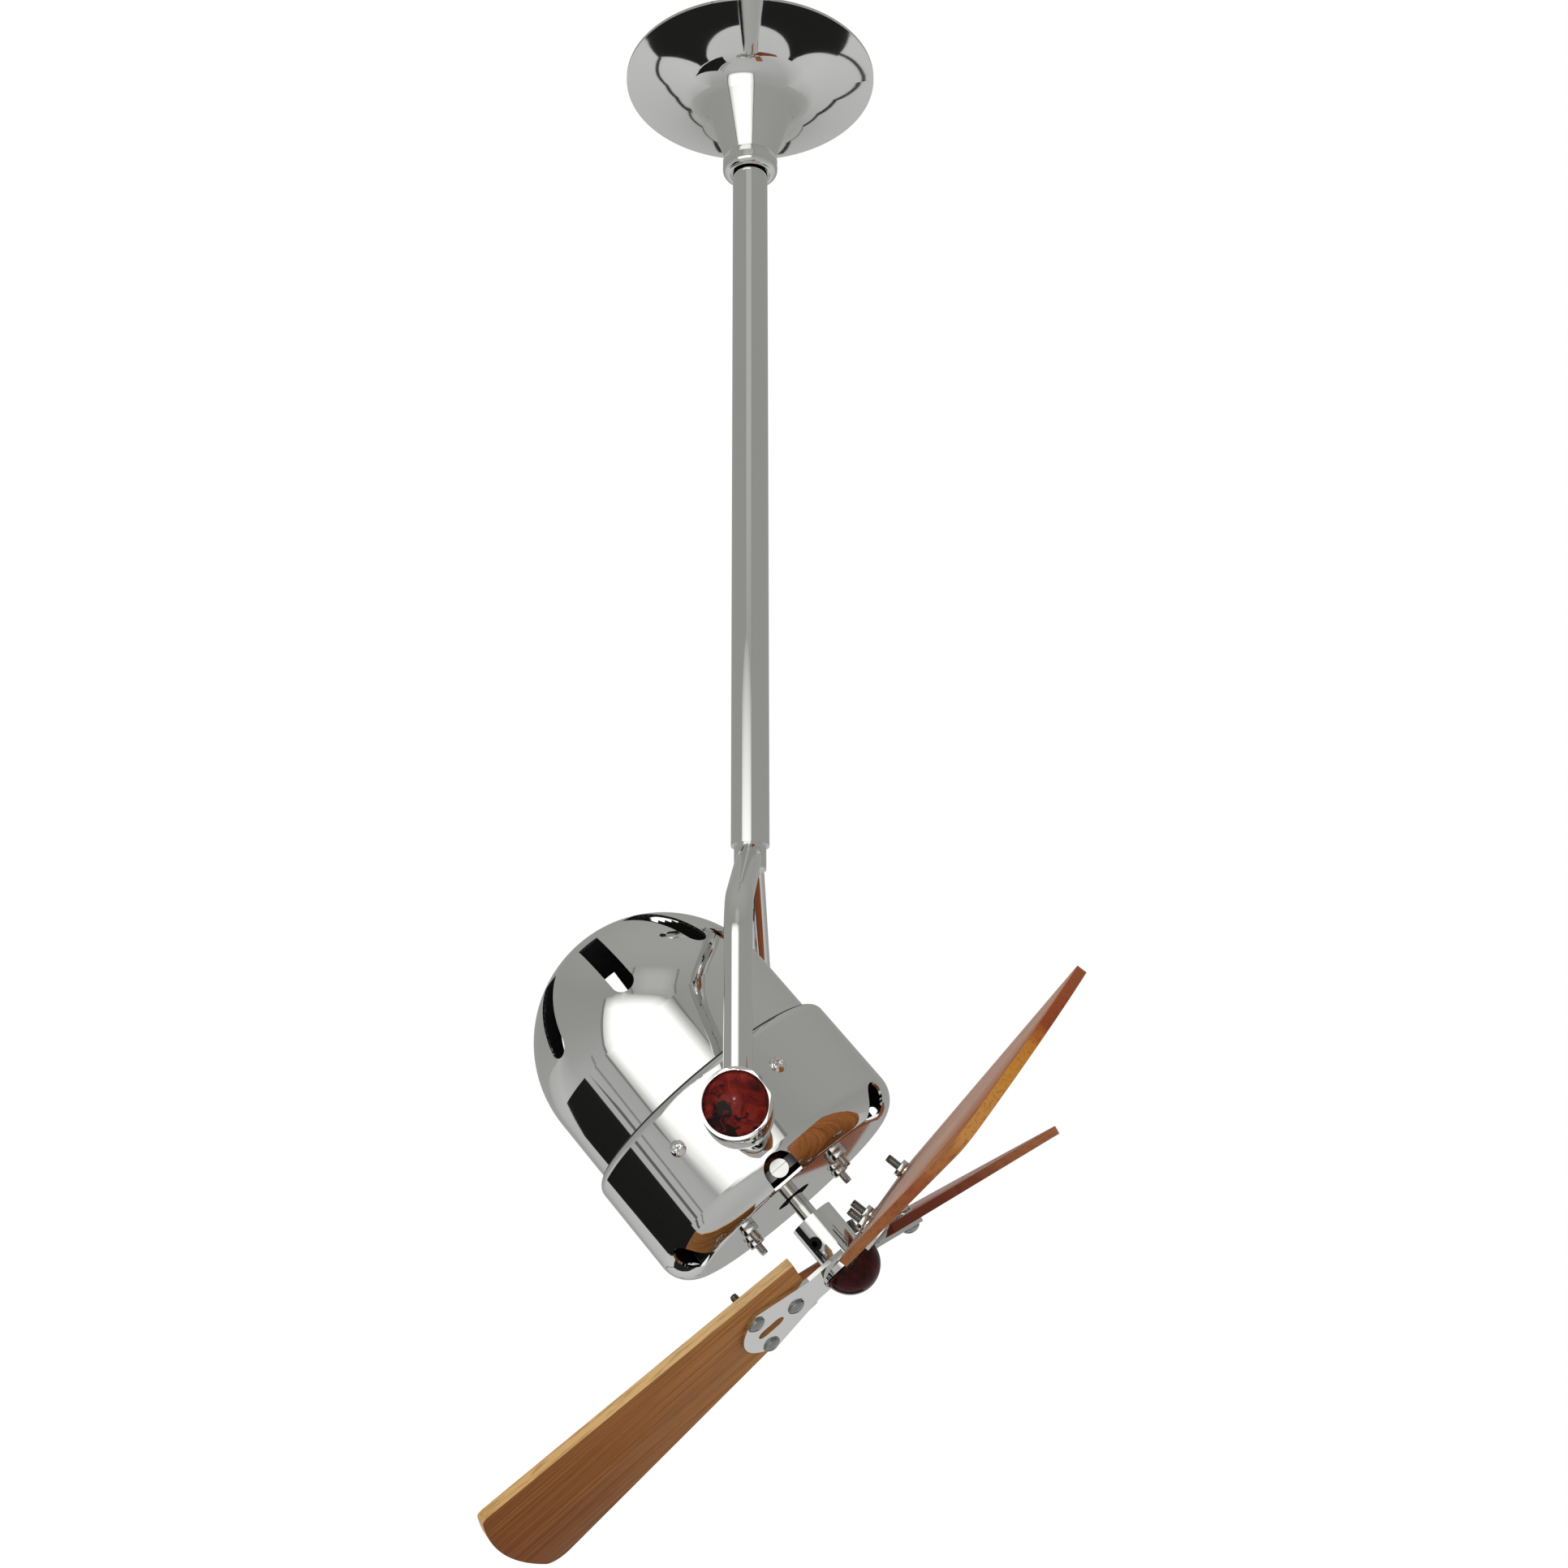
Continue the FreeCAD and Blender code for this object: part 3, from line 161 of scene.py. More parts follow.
# a material with its surface shader, and a wire that starts at the object's own coordinates
def finish(name):
    material = bpy.data.materials.new(name)
    material.use_nodes = True
    tree = material.node_tree
    surface = tree.nodes["Principled BSDF"]
    place = Wire(tree).node("TexCoord", output=3)
    return material, surface, place


def setSurface(surface, wire, **values):
    for name, value in values.items():
        wire.feed(surface.inputs[name.replace("_", " ")], value)


chrome = {
    "colour": (0.80, 0.80, 0.785),
    "polish": 0.025,
    "haze": 0.035,  # extra roughness in faint clouds
    "clouds": {"scale": 28.0, "detail": 3.0},
}


def makeChrome():
    material, surface, place = finish("polishedChrome")
    clouds = place.noise(**chrome["clouds"])
    setSurface(surface, place, Base_Color=chrome["colour"], Metallic=1.0,
               Roughness=chrome["polish"] + chrome["haze"] * clouds)
    return material


zinc = {
    "colour": (0.74, 0.74, 0.72),
    "dull": (0.60, 0.60, 0.57),
    "polish": 0.06,
    "haze": 0.07,
    "spots": {"scale": 240.0},
}


def makeZinc():
    material, surface, place = finish("zincPlate")
    spots = place.noise(**zinc["spots"])
    setSurface(surface, place, Base_Color=spots.mixed(zinc["dull"], zinc["colour"]), Metallic=1.0,
               Roughness=zinc["polish"] + zinc["haze"] * spots)
    return material


# plain finishes: colour, roughness, metal
plainFinishes = {
    "sinteredBronze": ((0.52, 0.34, 0.16), 0.45, 1.0),
    "bushRubber": ((0.03, 0.03, 0.03), 0.8, 0.0),
    "terminalPlastic": ((0.78, 0.77, 0.72), 0.5, 0.0),
    "redFibre": ((0.3, 0.1, 0.05), 0.75, 0.0),
    "steelLaminate": ((0.22, 0.22, 0.24), 0.5, 1.0),
    "enamelCopper": ((0.55, 0.2, 0.09), 0.35, 1.0),
    "castAlloy": ((0.5, 0.5, 0.51), 0.45, 1.0),
    "capacitorCase": ((0.03, 0.03, 0.035), 0.45, 0.0),
    # painted shade: near-black for the inner faces of the dome and cup
    "bareInside": ((0.020, 0.020, 0.020), 0.7, 0.0),
    "blackOxide": ((0.035, 0.035, 0.037), 0.3, 1.0),
    # painted dark reflection: steel darkened so the blade screw heads reflect darker
    "darkSteel": ((0.40, 0.40, 0.39), 0.16, 1.0),
}
plainGrain = {
    "grain": {"scale": 180.0},
    "shade": 0.82,  # darkest part of the colour
    "spread": 0.1,  # of the roughness, over the grain
}


def makePlain(name):
    colour, rough, metal = plainFinishes[name]
    material, surface, place = finish(name)
    grain = place.noise(**plainGrain["grain"])
    tone = grain.mixed([plainGrain["shade"] * value for value in colour], colour)
    smooth = rough - plainGrain["spread"] / 2
    setSurface(surface, place, Base_Color=tone, Metallic=metal,
               Roughness=smooth + plainGrain["spread"] * grain)
    return material


burl = {
    "ground": ((0.30, (0.036, 0.004, 0.003)), (0.48, (0.122, 0.008, 0.006)),
               (0.62, (0.180, 0.016, 0.009)), (0.80, (0.26, 0.050, 0.020))),
    "clouds": {"scale": 95.0, "detail": 4.0, "roughness": 0.58, "distortion": 1.6},
    # the small black figure of the burl, and where it gathers
    "eyes": {"scale": 260.0, "detail": 3.0, "roughness": 0.6, "distortion": 0.9},
    "gather": {"scale": 76.0, "detail": 1.0},
    "eyeShare": 0.62,
    "eyeMask": (0.525, 0.60),
    "eyeColour": (0.010, 0.003, 0.003),
    "polish": 0.07,
    "haze": 0.08,
    "gloss": 0.14,
    "capDepth": 1.0,
    "noseDepth": 0.22,  # painted shade: the nose colours are scaled by this, for the shadow it sits in
}


def makeBurl(name, depth):
    material, surface, place = finish(name)
    # depth scales the ground colours; for the nose it is painted shade
    ground = [(stop, [depth * value for value in colour]) for stop, colour in burl["ground"]]
    clouds = place.noise(**burl["clouds"])
    eyes = place.noise(**burl["eyes"])
    gather = place.noise(**burl["gather"])
    share = burl["eyeShare"]
    mask = (eyes * share + gather * (1 - share)).between(*burl["eyeMask"])
    setSurface(surface, place, Base_Color=mask.mixed(clouds.ramp(ground), burl["eyeColour"]),
               Roughness=burl["polish"] + burl["haze"] * clouds,
               Specular_IOR_Level=burl["gloss"])
    return material


bladeWood = {
    # each board's light and dark tone, at its root and at its tip
    "root": (((0.45, 0.215, 0.068), (0.215, 0.078, 0.019)),
             ((0.38, 0.155, 0.046), (0.205, 0.060, 0.015)),
             ((0.20, 0.060, 0.024), (0.100, 0.024, 0.010))),
    "tip": (((0.190, 0.060, 0.015), (0.120, 0.031, 0.007)),
            ((0.300, 0.105, 0.032), (0.170, 0.046, 0.012)),
            ((0.220, 0.070, 0.026), (0.110, 0.028, 0.011))),
    "pore": (0.055, 0.020, 0.008),
    "poreStrength": 0.55,
    "shift": (0.7, 0.31, 0.0),  # from one board's place in the wood to the next one's
    # figure: scale along, across and through the board, then detail, roughness, distortion
    "streak": ((2.2, 120.0, 120.0), 3.0, 0.55, 0.5),
    "fibre": ((9.0, 700.0, 700.0), 3.0, 0.6, 0.2),
    "pores": ((70.0, 1900.0, 1900.0), 1.0, 0.5, 0.0),
    "streakMask": (0.32, 0.68),
    "poreMask": (0.60, 0.74),
    # from dark to light: shares of streak and fibre
    "light": (0.25, 0.75),
    "lightMask": (0.36, 0.62),
    # from root to tip: shares of the length and of the streak
    "ripe": (0.55, 0.55),
    "ripeMask": (0.18, 0.95),
    "span": (0.03, 0.20),  # root and tip, along the board
    "rough": 0.46,
    "fibreRough": 0.12,
    "gloss": 0.02,
    "coat": (0.04, 0.3),  # weight and roughness
    "sheen": (0.32, 0.16),  # weight and roughness
    "fibreHeight": 0.4,
    "poreDepth": 0.3,
    "bump": (0.12, 0.2 * mm),  # strength and distance
}
sawnEdge = {
    # tones around each board's edge, from the root along one side, then across the tip
    "tones": (
        ((0.00, (0.58, 0.35, 0.14)), (0.50, (0.64, 0.42, 0.20)), (1.00, (0.56, 0.34, 0.13))),
        ((0.00, (0.34, 0.15, 0.055)), (0.20, (0.32, 0.12, 0.040)),
         (0.32, (0.27, 0.075, 0.025)), (0.44, (0.46, 0.21, 0.060)),
         (0.58, (0.46, 0.20, 0.034)), (0.70, (0.42, 0.155, 0.027)),
         (0.76, (0.235, 0.05, 0.016)), (1.00, (0.24, 0.07, 0.028))),
        ((0.00, (0.10, 0.020, 0.012)), (0.24, (0.13, 0.030, 0.015)),
         (0.30, (0.25, 0.085, 0.035)), (0.42, (0.31, 0.115, 0.05)),
         (1.00, (0.24, 0.085, 0.04)))),
    "speck": (0.120, 0.034, 0.012),
    "speckStrength": 0.4,
    "speckMask": (0.50, 0.66),
    "sides": (0.050, -0.055),  # that side and the other one, across the tip
    "sideShare": 0.45,  # part of the tones that lies along the side
    "patches": {"scale": 60.0, "distortion": 0.4},
    "patchShift": 0.12,
}


# how far a value is from start to end
def progress(wire, start, end):
    return (wire - start) * (1 / (end - start))


# wood in the frame of its own board, on the faces or around the sawn edge
def makeBladeWood(index, sawn):
    material, surface, place = finish(f"bladeEdge{index + 1}" if sawn else f"bladeWood{index + 1}")
    back = bladeFrames[index].inverted()
    board = place.node("Mapping", {"vector_type": "POINT"}, {
        "Vector": place, "Location": back.to_translation(), "Rotation": back.to_euler("XYZ"),
        "Scale": (1, 1, 1)})
    shift = [index * step for step in bladeWood["shift"]]
    shifted = place.node("VectorMath", {"operation": "ADD"}, {0: board, 1: shift})

    def figure(key):
        stretch, *character = bladeWood[key]
        stretched = place.node("VectorMath", {"operation": "MULTIPLY"}, {0: shifted, 1: stretch})
        return stretched.noise(1.0, *character)

    fibre = figure("fibre")
    pores = figure("pores").between(*bladeWood["poreMask"]) * bladeWood["poreStrength"]
    along = progress(board.part(0), *bladeWood["span"])
    if sawn:
        share = sawnEdge["sideShare"]
        around = along * share + progress(board.part(1), *sawnEdge["sides"]) * (1 - share)
        patches = place.noise(**sawnEdge["patches"])
        turned = around + patches * sawnEdge["patchShift"] - sawnEdge["patchShift"] / 2
        specks = fibre.between(*sawnEdge["speckMask"]) * sawnEdge["speckStrength"]
        tone = specks.mixed(turned.ramp(sawnEdge["tones"][index]), sawnEdge["speck"])
    else:
        streak = figure("streak").between(*bladeWood["streakMask"])
        streakShare, fibreShare = bladeWood["light"]
        light = (streak * streakShare + fibre * fibreShare).between(*bladeWood["lightMask"])
        lengthShare, streakShare = bladeWood["ripe"]
        ripe = (along * lengthShare + streak * streakShare).between(*bladeWood["ripeMask"])
        rootLight, rootDark = bladeWood["root"][index]
        tipLight, tipDark = bladeWood["tip"][index]
        ground = ripe.mixed(light.mixed(rootDark, rootLight), light.mixed(tipDark, tipLight))
        tone = pores.mixed(ground, bladeWood["pore"])
    coatWeight, coatRough = bladeWood["coat"]
    sheenWeight, sheenRough = bladeWood["sheen"]
    relief = fibre * bladeWood["fibreHeight"] - pores * bladeWood["poreDepth"]
    setSurface(surface, place, Base_Color=tone,
               Roughness=bladeWood["rough"] + bladeWood["fibreRough"] * fibre,
               Coat_Weight=coatWeight, Coat_Roughness=coatRough,
               Specular_IOR_Level=bladeWood["gloss"],
               Sheen_Weight=sheenWeight, Sheen_Roughness=sheenRough,
               Normal=relief.bumped(*bladeWood["bump"]))
    return material


woodFinishes = [makeBladeWood(index, False) for index in range(bladeSet["count"])]
edgeFinishes = [makeBladeWood(index, True) for index in range(bladeSet["count"])]
plain = {name: makePlain(name) for name in plainFinishes}
slotFinish = {
    "chrome": makeChrome(),
    "steel": makeZinc(),
    "bronze": plain["sinteredBronze"],
    "rubber": plain["bushRubber"],
    "terminal": plain["terminalPlastic"],
    "fibre": plain["redFibre"],
    "burl": makeBurl("redBurl", burl["capDepth"]),
    "laminate": plain["steelLaminate"],
    "copper": plain["enamelCopper"],
    "alloy": plain["castAlloy"],
    "capacitor": plain["capacitorCase"],
    "blade_wood": woodFinishes[0],
}
# nodes that differ from the others of their slot
ownFinish = {
    "blade_2": woodFinishes[1],
    "blade_3": woodFinishes[2],
    # painted shade: the nose cap's burl is darkened for its shadow
    "nose_cap": makeBurl("darkBurl", burl["noseDepth"]),
    "hub_set_screw": plain["blackOxide"],
    # painted dark reflection on the blade screw heads
    "blade_screws": plain["darkSteel"],
}
for name, thing in nodes.items():
    thing.data.materials.clear()
    thing.data.materials.append(ownFinish.get(name, slotFinish[slotOf[name]]))
print("finishes set on", len(nodes), "nodes")

smoothing = {
    "flatArea": 4 * mm ** 2,  # larger faces are true flats
    "crease": math.radians(38),
}


def addObject(name, data):
    made = bpy.data.objects.new(name, data)
    bpy.context.collection.objects.link(made)
    return made


# a new mesh in the place of a solid
def standIn(node, ending, mesh):
    mesh.name = f"{node}_{ending}"
    piece = addObject(mesh.name, mesh)
    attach(piece, bodyOf[node])
    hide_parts(node)
    return piece


# a mesh with its curved faces smooth
def smoothed(mesh):
    for face in mesh.polygons:
        face.use_smooth = face.area < smoothing["flatArea"]
    mesh.set_sharp_from_angle(angle=smoothing["crease"])
    return mesh


# what a bmesh holds, as a mesh
def meshed(name, work):
    mesh = bpy.data.meshes.new(name)
    work.to_mesh(mesh)
    work.free()
    return mesh


# a solid as a bmesh, its double points joined
def joined(node):
    work = bmesh.new()
    work.from_mesh(nodes[node].data)
    bmesh.ops.remove_doubles(work, verts=work.verts, dist=mm / 1000)
    return work


easing = {
    "flat": math.radians(0.5),  # faces that turn less are one face
    "sharp": math.radians(28),  # edges that turn more are eased
    "steps": 2,
}


# a copy of a solid with its sharp edges eased, beyond a radius from the rod
def eased(node, width, steps=easing["steps"], beyond=0.0):
    work = joined(node)
    bmesh.ops.dissolve_limit(work, angle_limit=easing["flat"], verts=work.verts, edges=work.edges)
    sharp = [
        edge for edge in work.edges
        if len(edge.link_faces) == 2 and edge.calc_face_angle(0) > easing["sharp"]
        and edge.verts[0].co.to_2d().length > beyond
    ]
    bmesh.ops.bevel(work, geom=sharp, offset=width, segments=steps, profile=0.5,
                    affect="EDGES", clamp_overlap=True)
    mesh = meshed(node, work)
    mesh.materials.append(nodes[node].data.materials[0])
    return standIn(node, "eased", smoothed(mesh))


easedWidths = {
    "blade_nuts": 0.3 * mm,
    "stud_nuts": 0.3 * mm,
    "pivot_boss_front": 0.8 * mm,
    "pivot_boss_rear": 0.8 * mm,
}
collar = {"edge": 0.6 * mm, "bore": 14 * mm}  # only edges outside the bore are eased
for name, width in easedWidths.items():
    eased(name, width)
eased("canopy_collar", collar["edge"], beyond=collar["bore"])
print("edges eased on", len(easedWidths) + 1, "nodes")

# boards: eased edges, with the sawn edge in its own tones
for index, matrix in enumerate(bladeFrames):
    blade = eased(f"blade_{index + 1}", bladeSet["edge"], bladeSet["edgeSteps"])
    blade.data.materials.append(edgeFinishes[index])
    flat = matrix.to_3x3() @ upward
    for face in blade.data.polygons:
        face.material_index = 0 if abs(face.normal.dot(flat)) > bladeSet["edgeTurn"] else 1
print("boards eased,", len(bladeFrames), "with sawn edges")

shell = {
    "domeCentre": -64.5 * mm,  # along the head
    "domeRadius": 61.4 * mm,
    "cupRadius": 66.7 * mm,
    "depth": 0.5 * mm,  # faces deeper than this are inside
    "lip": 1.3 * mm,
    "inward": 0.2,  # an inner wall of the cup looks this much to its axis, as a cosine
    "backward": 0.3,  # and the inside of its front this much to the rear
}


# the dome and the cup, with painted shade on their inner faces
def lined(node, inside):
    mesh = nodes[node].data.copy()
    mesh.materials.append(plain["bareInside"])
    turn = headBack.to_3x3()
    for face in mesh.polygons:
        face.material_index = 1 if inside(headBack @ face.center, turn @ face.normal) else 0
    standIn(node, "lined", mesh)


def insideDome(point, normal):
    away = Vector((point.x, point.y, min(point.z - shell["domeCentre"], 0)))
    return away.length < shell["domeRadius"] - shell["depth"] and normal.dot(away) < 0


def insideCup(point, normal):
    away = Vector((point.x, point.y, 0))
    wall = normal.dot(away.normalized()) < -shell["inward"]
    front = away.length < shell["cupRadius"] - shell["lip"] and normal.z < -shell["backward"]
    return away.length < shell["cupRadius"] - shell["depth"] and (wall or front)


lined("rear_dome", insideDome)
lined("front_cup", insideCup)
print("shells lined")

thread = {
    "core": 1.62 * mm,
    "crest": 2.0 * mm,
    "pitch": 0.8 * mm,
    "flank": 1.25,  # steepness of the ridge
    "around": 18,
    "rows": 8,  # rows of points in one turn
    "lead": 0.9 * mm,  # length of the chamfered end
    "tip": 0.62,  # size of its last row
    "near": 0.1 * mm,  # points this close to the crest belong to the bolt
    "bite": 0.4 * mm,  # start of a thread inside its nut
}


# the separate solids of a node, as lists of points
def islands(node):
    work = joined(node)
    found = set()
    groups = []
    for first in work.verts:
        if first in found:
            continue
        found.add(first)
        group = [first]
        for vert in group:
            for edge in vert.link_edges:
                other = edge.other_vert(vert)
                if other not in found:
                    found.add(other)
                    group.append(other)
        groups.append([vert.co.copy() for vert in group])
    work.free()
    return groups


def middle(points, axis):
    return (min(point[axis] for point in points) + max(point[axis] for point in points)) / 2


# side faces between rings of points, closed at both ends
def skin(work, rings):
    for low, high in zip(rings, rings[1:]):
        for step in range(len(low)):
            after = (step + 1) % len(low)
            work.faces.new((low[step], low[after], high[after], high[step]))
    work.faces.new(rings[0])
    work.faces.new(rings[-1])


# a thread wound along local z, with a chamfered end
def windThread(work, matrix, start, end):
    length = abs(end - start)
    sign = 1 if end > start else -1
    rows = round(length / thread["pitch"] * thread["rows"])
    rings = []
    for row in range(rows + 1):
        along = length * row / rows
        chamfer = thread["tip"] + (1 - thread["tip"]) * (length - along) / thread["lead"]
        ring = []
        for step in range(thread["around"]):
            turn = step / thread["around"]
            phase = (along / thread["pitch"] - sign * turn) % 1.0
            ridge = max(0.0, 1 - abs(2 * phase - 1) * thread["flank"])
            radius = thread["core"] + (thread["crest"] - thread["core"]) * ridge
            radius *= min(1.0, chamfer)
            angle = math.tau * turn
            point = Vector((radius * math.cos(angle), radius * math.sin(angle), start + sign * along))
            ring.append(work.verts.new(matrix @ point))
        rings.append(ring)
    skin(work, rings)


# bolts with a slimmer plain core, and threads on their free ends
def threaded(node, frames, nutEnd, tailEnd):
    axes = {}  # one for each bolt
    for points in islands(node):
        centre = sum(points, Vector()) / len(points)
        matrix = max(frames, key=lambda choice: (choice.inverted() @ centre).x)
        local = [matrix.inverted() @ point for point in points]
        axis = matrix @ Matrix.Translation((middle(local, 0), middle(local, 1), 0))
        axes[tuple(round(value, 4) for value in axis.to_translation())] = axis
    work = joined(node)
    slim = Matrix.Diagonal((thread["core"] / thread["crest"],) * 2 + (1, 1))
    for axis in axes.values():
        back = axis.inverted()
        for vert in work.verts:
            local = back @ vert.co
            if abs(local.to_2d().length - thread["crest"]) < thread["near"]:
                vert.co = axis @ slim @ local
    for axis in axes.values():
        windThread(work, axis, nutEnd, tailEnd)
    bmesh.ops.recalc_face_normals(work, faces=work.faces)
    mesh = meshed(node, work)
    mesh.materials.append(nodes[node].data.materials[0])
    standIn(node, "threaded", smoothed(mesh))


# where a node ends along the head
def reach(node):
    return max((headBack @ vert.co).z for vert in nodes[node].data.vertices)


threaded("motor_studs", [headMatrix], reach("stud_nuts") - thread["bite"], reach("motor_studs"))
nutBack = -bladeSet["sheet"] - bladeSet["washer"] - bladeSet["nut"]
threaded("blade_screws", bladeFrames, nutBack + thread["bite"], -bladeSet["sheet"] - bladeSet["tail"])
print("threads wound")

recess = {
    "arm": 1.5 * mm,  # from the middle
    "width": 0.42 * mm,  # half of it
    "depth": 0.9 * mm,
    "proud": 0.6 * mm,  # the cutter stands out of the head
}


# the outline of a cross, a quarter at a time
def crossOutline():
    arm, width = recess["arm"], recess["width"]
    quarter = [(arm, -width), (arm, width), (width, width)]
    outline = []
    for turn in range(4):
        outline += quarter
        quarter = [(-y, x) for x, y in quarter]
    return outline


# cross recesses in the heads of the side screws
def recessed(node):
    work = bmesh.new()
    for points in islands(node):
        local = [headBack @ point for point in points]
        centre = Vector([middle(local, axis) for axis in range(3)])
        outward = Vector((centre.x, centre.y, 0)).normalized()
        aside = upward.cross(outward)
        top = max(point.dot(outward) for point in local)
        rings = []
        for height in (top - recess["depth"], top + recess["proud"]):
            base = outward * height + upward * centre.z
            rings.append([work.verts.new(headMatrix @ (base + aside * x + upward * y))
                          for x, y in crossOutline()])
        skin(work, rings)
    bmesh.ops.recalc_face_normals(work, faces=work.faces)
    cutter = addObject("recessCutter", meshed("recessCutter", work))
    blank = addObject("recessBlank", nodes[node].data.copy())
    carve = blank.modifiers.new("carve", "BOOLEAN")
    carve.operation = "DIFFERENCE"
    carve.object = cutter
    carved = blank.evaluated_get(bpy.context.evaluated_depsgraph_get())
    mesh = bpy.data.meshes.new_from_object(carved)
    for thing in (cutter, blank):
        bpy.data.objects.remove(thing)
    standIn(node, "recessed", smoothed(mesh))


recessed("housing_screws")
print("screw heads recessed")

# camera, at the photograph's point of view
shot = {
    "place": Vector((51.9, -952.3, -741.5)) * mm,
    "heading": math.radians(3.12),
    "rise": math.radians(18.84),
    "sensor": 36,
    "lens": 46.655,
    "shift": (0.0216, -0.001),
    "clip": 0.01,
}
lens = bpy.data.cameras.new("photoCamera")
lens.sensor_width = shot["sensor"]
lens.lens = shot["lens"]
lens.shift_x, lens.shift_y = shot["shift"]
lens.clip_start = shot["clip"]
camera = addObject("photoCamera", lens)
sight = Vector((-math.sin(shot["heading"]) * math.cos(shot["rise"]),
                math.cos(shot["heading"]) * math.cos(shot["rise"]), math.sin(shot["rise"])))
camera.location = shot["place"]
camera.rotation_euler = sight.to_track_quat("-Z", "Y").to_euler()
bpy.context.scene.camera = camera
print("camera set")

# lamps: place, width, height, power, seen in the chrome
lamps = {
    "topLamp": ((-0.3, 0.2, 1.3), 1.6, 1.6, 22.0, False),
    "spark": ((-0.12, -1.4, -0.2), 0.10, 0.10, 1.2, True),
}


def faceHead(thing):
    thing.rotation_euler = (pivot - thing.location).to_track_quat("-Z", "Y").to_euler()


for name, (place, width, height, power, shiny) in lamps.items():
    light = bpy.data.lights.new(name, "AREA")
    light.shape = "RECTANGLE"
    light.size = width
    light.size_y = height
    light.energy = power
    lamp = addObject(name, light)
    lamp.location = place
    lamp.visible_glossy = shiny
    faceHead(lamp)
print("lamps set")


# a plain panel of the studio, from its corners
def panel(name, corners, material):
    mesh = bpy.data.meshes.new(name)
    mesh.from_pydata([tuple(corner) for corner in corners], [], [(0, 1, 2, 3)])
    mesh.materials.append(material)
    made = addObject(name, mesh)
    return made


# a panel that only the chrome sees
def mirroredPanel(name, corners, material):
    made = panel(name, corners, material)
    made.visible_camera = False
    made.visible_shadow = False
    made.visible_diffuse = False


floor = {
    "level": -1.35,
    "half": 6.0,  # from the middle to each side
    "colour": (0.80, 0.80, 0.79),
    "rough": 0.9,
}


def matt(name, colour):
    material, surface, wire = finish(name)
    setSurface(surface, wire, Base_Color=colour, Roughness=floor["rough"])
    return material


def floorCorners(rise):
    half, level = floor["half"], floor["level"] + rise
    return [(-half, -half, level), (half, -half, level), (half, half, level), (-half, half, level)]


panel("floor", floorCorners(0), matt("paleFloor", floor["colour"]))

# a dark flag and a light stand: distance from the head, colour, corners as heading and rise in degrees
flags = {
    "leftFlag": (0.95, (0.002, 0.002, 0.002), ((-78, -22), (-132, -16), (-132, -60), (-78, -62))),
    "standPole": (0.95, (0.10, 0.10, 0.10), ((-69, -24), (-72, -22), (-72, -62), (-69, -62))),
    "standLeg": (0.95, (0.22, 0.22, 0.22), ((-61, -12), (-63, -12), (-63, -62), (-61, -62))),
}


def fromHead(distance, heading, rise):
    heading, rise = math.radians(heading), math.radians(rise)
    return pivot + distance * Vector((
        math.sin(heading) * math.cos(rise), -math.cos(heading) * math.cos(rise), math.sin(rise)))


for name, (distance, colour, directions) in flags.items():
    corners = [fromHead(distance, heading, rise) for heading, rise in directions]
    mirroredPanel(name, corners, matt(name, colour))

# the floor as the chrome shows it
floorPaper = {
    "rise": 0.005,
    # grey levels along it, from the front to the back
    "levels": ((-6.0, 0.42), (-0.1, 0.42), (1.1, 0.56), (3.0, 0.54), (6.0, 0.43)),
    "darkRise": 0.01,
    "dark": (0.004, 0.004, 0.004),
    "cloth": ((-0.62, 0.68), (0.42, 0.68), (0.46, 1.26), (-0.60, 1.26)),  # behind the fan
    "seamWidth": 0.007,  # half of it, for each metre from the fan
    # dark seams, which the canopy shows as thin lines
    "leftSeam": ((-0.60, 1.24), (-0.74, 1.54), (-0.87, 1.78), (-1.04, 2.30),
                 (-1.28, 3.50), (-1.27, 5.62), (-0.70, 4.85), (-0.38, 3.51)),
    "rightSeam": ((0.44, 1.24), (0.45, 1.74), (0.53, 1.97), (0.67, 2.41),
                  (0.75, 3.54), (0.64, 5.00), (0.19, 4.59), (0.00, 3.35)),
}


def makeFloorPaper():
    material, surface, wire = finish("greyPaper")
    perMetre = 0.5 / floor["half"]
    stops = [(0.5 + perMetre * place, (level,) * 3) for place, level in floorPaper["levels"]]
    setSurface(surface, wire, Roughness=floor["rough"],
               Base_Color=(wire.part(1) * perMetre + 0.5).ramp(stops))
    return material


mirroredPanel("floorPaper", floorCorners(floorPaper["rise"]), makeFloorPaper())
darkPaper = matt("darkPaper", floorPaper["dark"])
above = upward * (floor["level"] + floorPaper["darkRise"])
clothCorners = [above + Vector((x, y, 0)) for x, y in floorPaper["cloth"]]
mirroredPanel("floorCloth", clothCorners, darkPaper)
for name in ("leftSeam", "rightSeam"):
    points = [Vector((x, y, 0)) for x, y in floorPaper[name]]
    for step, (near, far) in enumerate(zip(points, points[1:])):
        side = (far - near).normalized().cross(upward) * floorPaper["seamWidth"]
        mirroredPanel(f"{name}{step + 1}", [
            above + near - side * near.length, above + near + side * near.length,
            above + far + side * far.length, above + far - side * far.length], darkPaper)
print("floor laid, flags hung")

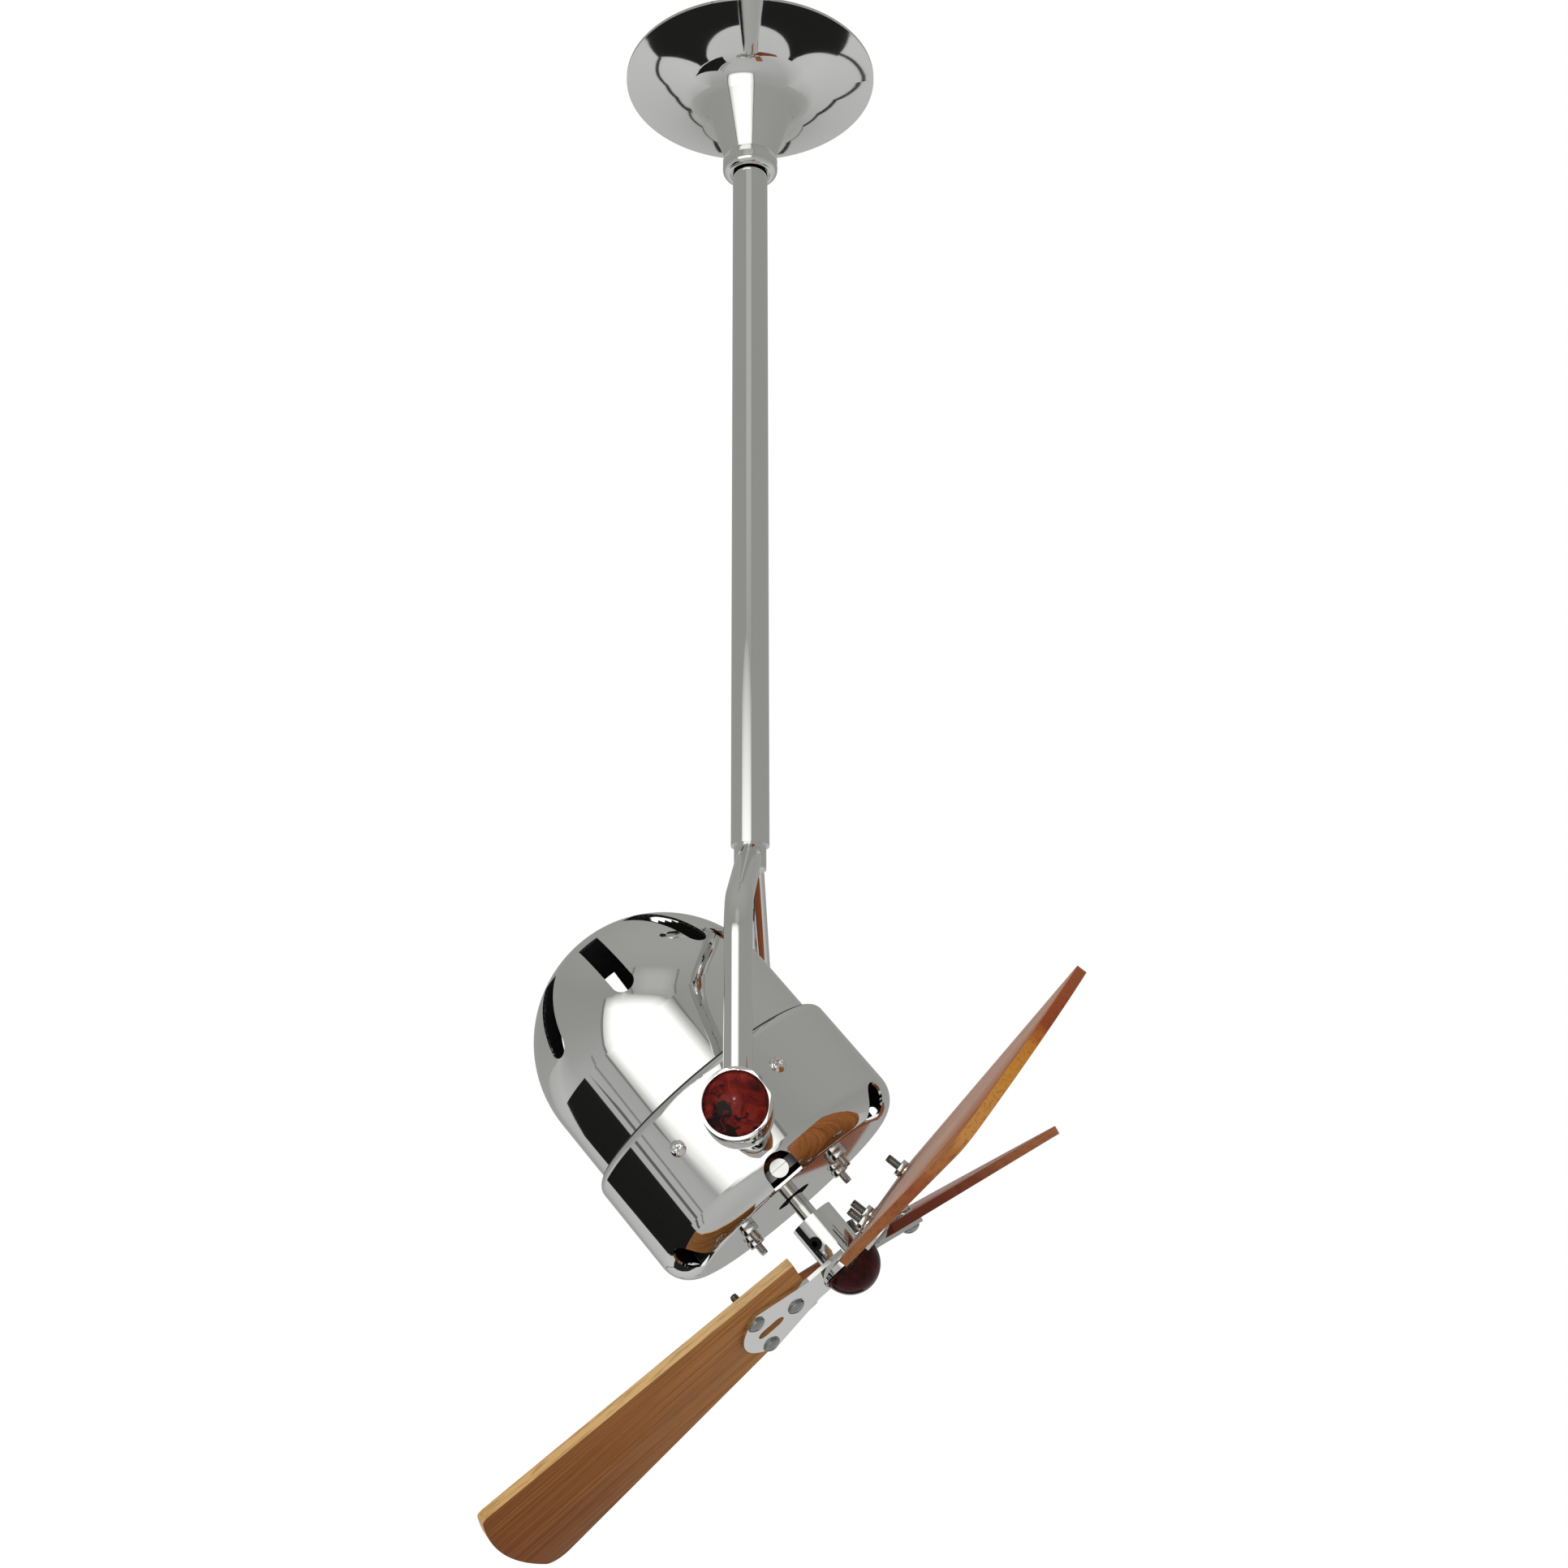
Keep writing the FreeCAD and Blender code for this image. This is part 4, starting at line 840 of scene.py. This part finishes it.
# soft boxes: place, width, height, strength, part of each half that fades, level at the edges
softBoxes = {
    "frontBox": ((-0.52, -1.54, -0.50), 2.0, 1.64, 1.35, 0.40, 0.34),
    "upperBox": ((-0.16, -1.58, 0.86), 1.3, 1.16, 0.50, 0.7, 0.74),
}
boxFace = {
    "glow": (1.0, 1.0, 0.98),
    "rail": 0.07,  # part of each half that is a grey side rail
    "railBlur": 1.3,
    "railLevel": 0.22,
}


# a soft box glows evenly in the middle and fades to its edges, between two side rails
def makeSoftBox(name, place, width, height, strength, fade, edgeLevel):
    material, surface, wire = finish(name)

    # a mask: 1 in the middle, from start to end of each half down to 0
    def inner(axis, size, start, end):
        across = wire.part(axis)
        return 1 - (across * across * (4 / size ** 2)).between(start ** 2, end ** 2)

    rail = boxFace["rail"]
    middleGlow = inner(0, width, 1 - fade, 1.0) * inner(1, height, 1 - fade, 1.0)
    cloth = middleGlow.mixed((edgeLevel,) * 3, boxFace["glow"])
    glow = inner(0, width, 1 - boxFace["railBlur"] * rail, 1 - rail).mixed(
        (boxFace["railLevel"] / strength,) * 3, cloth)
    setSurface(surface, wire, Base_Color=(0, 0, 0), Roughness=1.0, Specular_IOR_Level=0.0,
               Emission_Color=glow, Emission_Strength=strength)
    x, y = width / 2, height / 2
    box = panel(name, [(-x, -y, 0), (x, -y, 0), (x, y, 0), (-x, y, 0)], material)
    box.location = place
    faceHead(box)
    box.visible_camera = False
    box.visible_shadow = False


for name, settings in softBoxes.items():
    makeSoftBox(name, *settings)
print("soft boxes set")

surround = {
    "background": (1.0, 1.0, 1.0),
    "fill": (0.90, 0.90, 0.90),  # light on what is dull
    # what the chrome shows, from straight down to straight up
    "room": ((0.0, (0.38, 0.38, 0.37)), (0.40, (0.40, 0.40, 0.39)), (0.56, (0.35, 0.35, 0.34)),
             (0.75, (0.33, 0.33, 0.32)), (1.0, (0.40, 0.40, 0.39))),
}
world = bpy.data.worlds.new("studioWorld")
bpy.context.scene.world = world
world.use_nodes = True
start = Wire(world.node_tree)
direction = start.node("TexCoord", output=0)
cameraRay = start.node("LightPath", output=0)
glossyRay = start.node("LightPath", output=3)
room = (direction.part(2) * 0.5 + 0.5).ramp(surround["room"])
sky = cameraRay.mixed(glossyRay.mixed(surround["fill"], room), surround["background"])
start.feed(world.node_tree.nodes["Background"].inputs["Color"], sky)

view = bpy.context.scene.view_settings
view.view_transform = "Standard"
print("surround and view set")
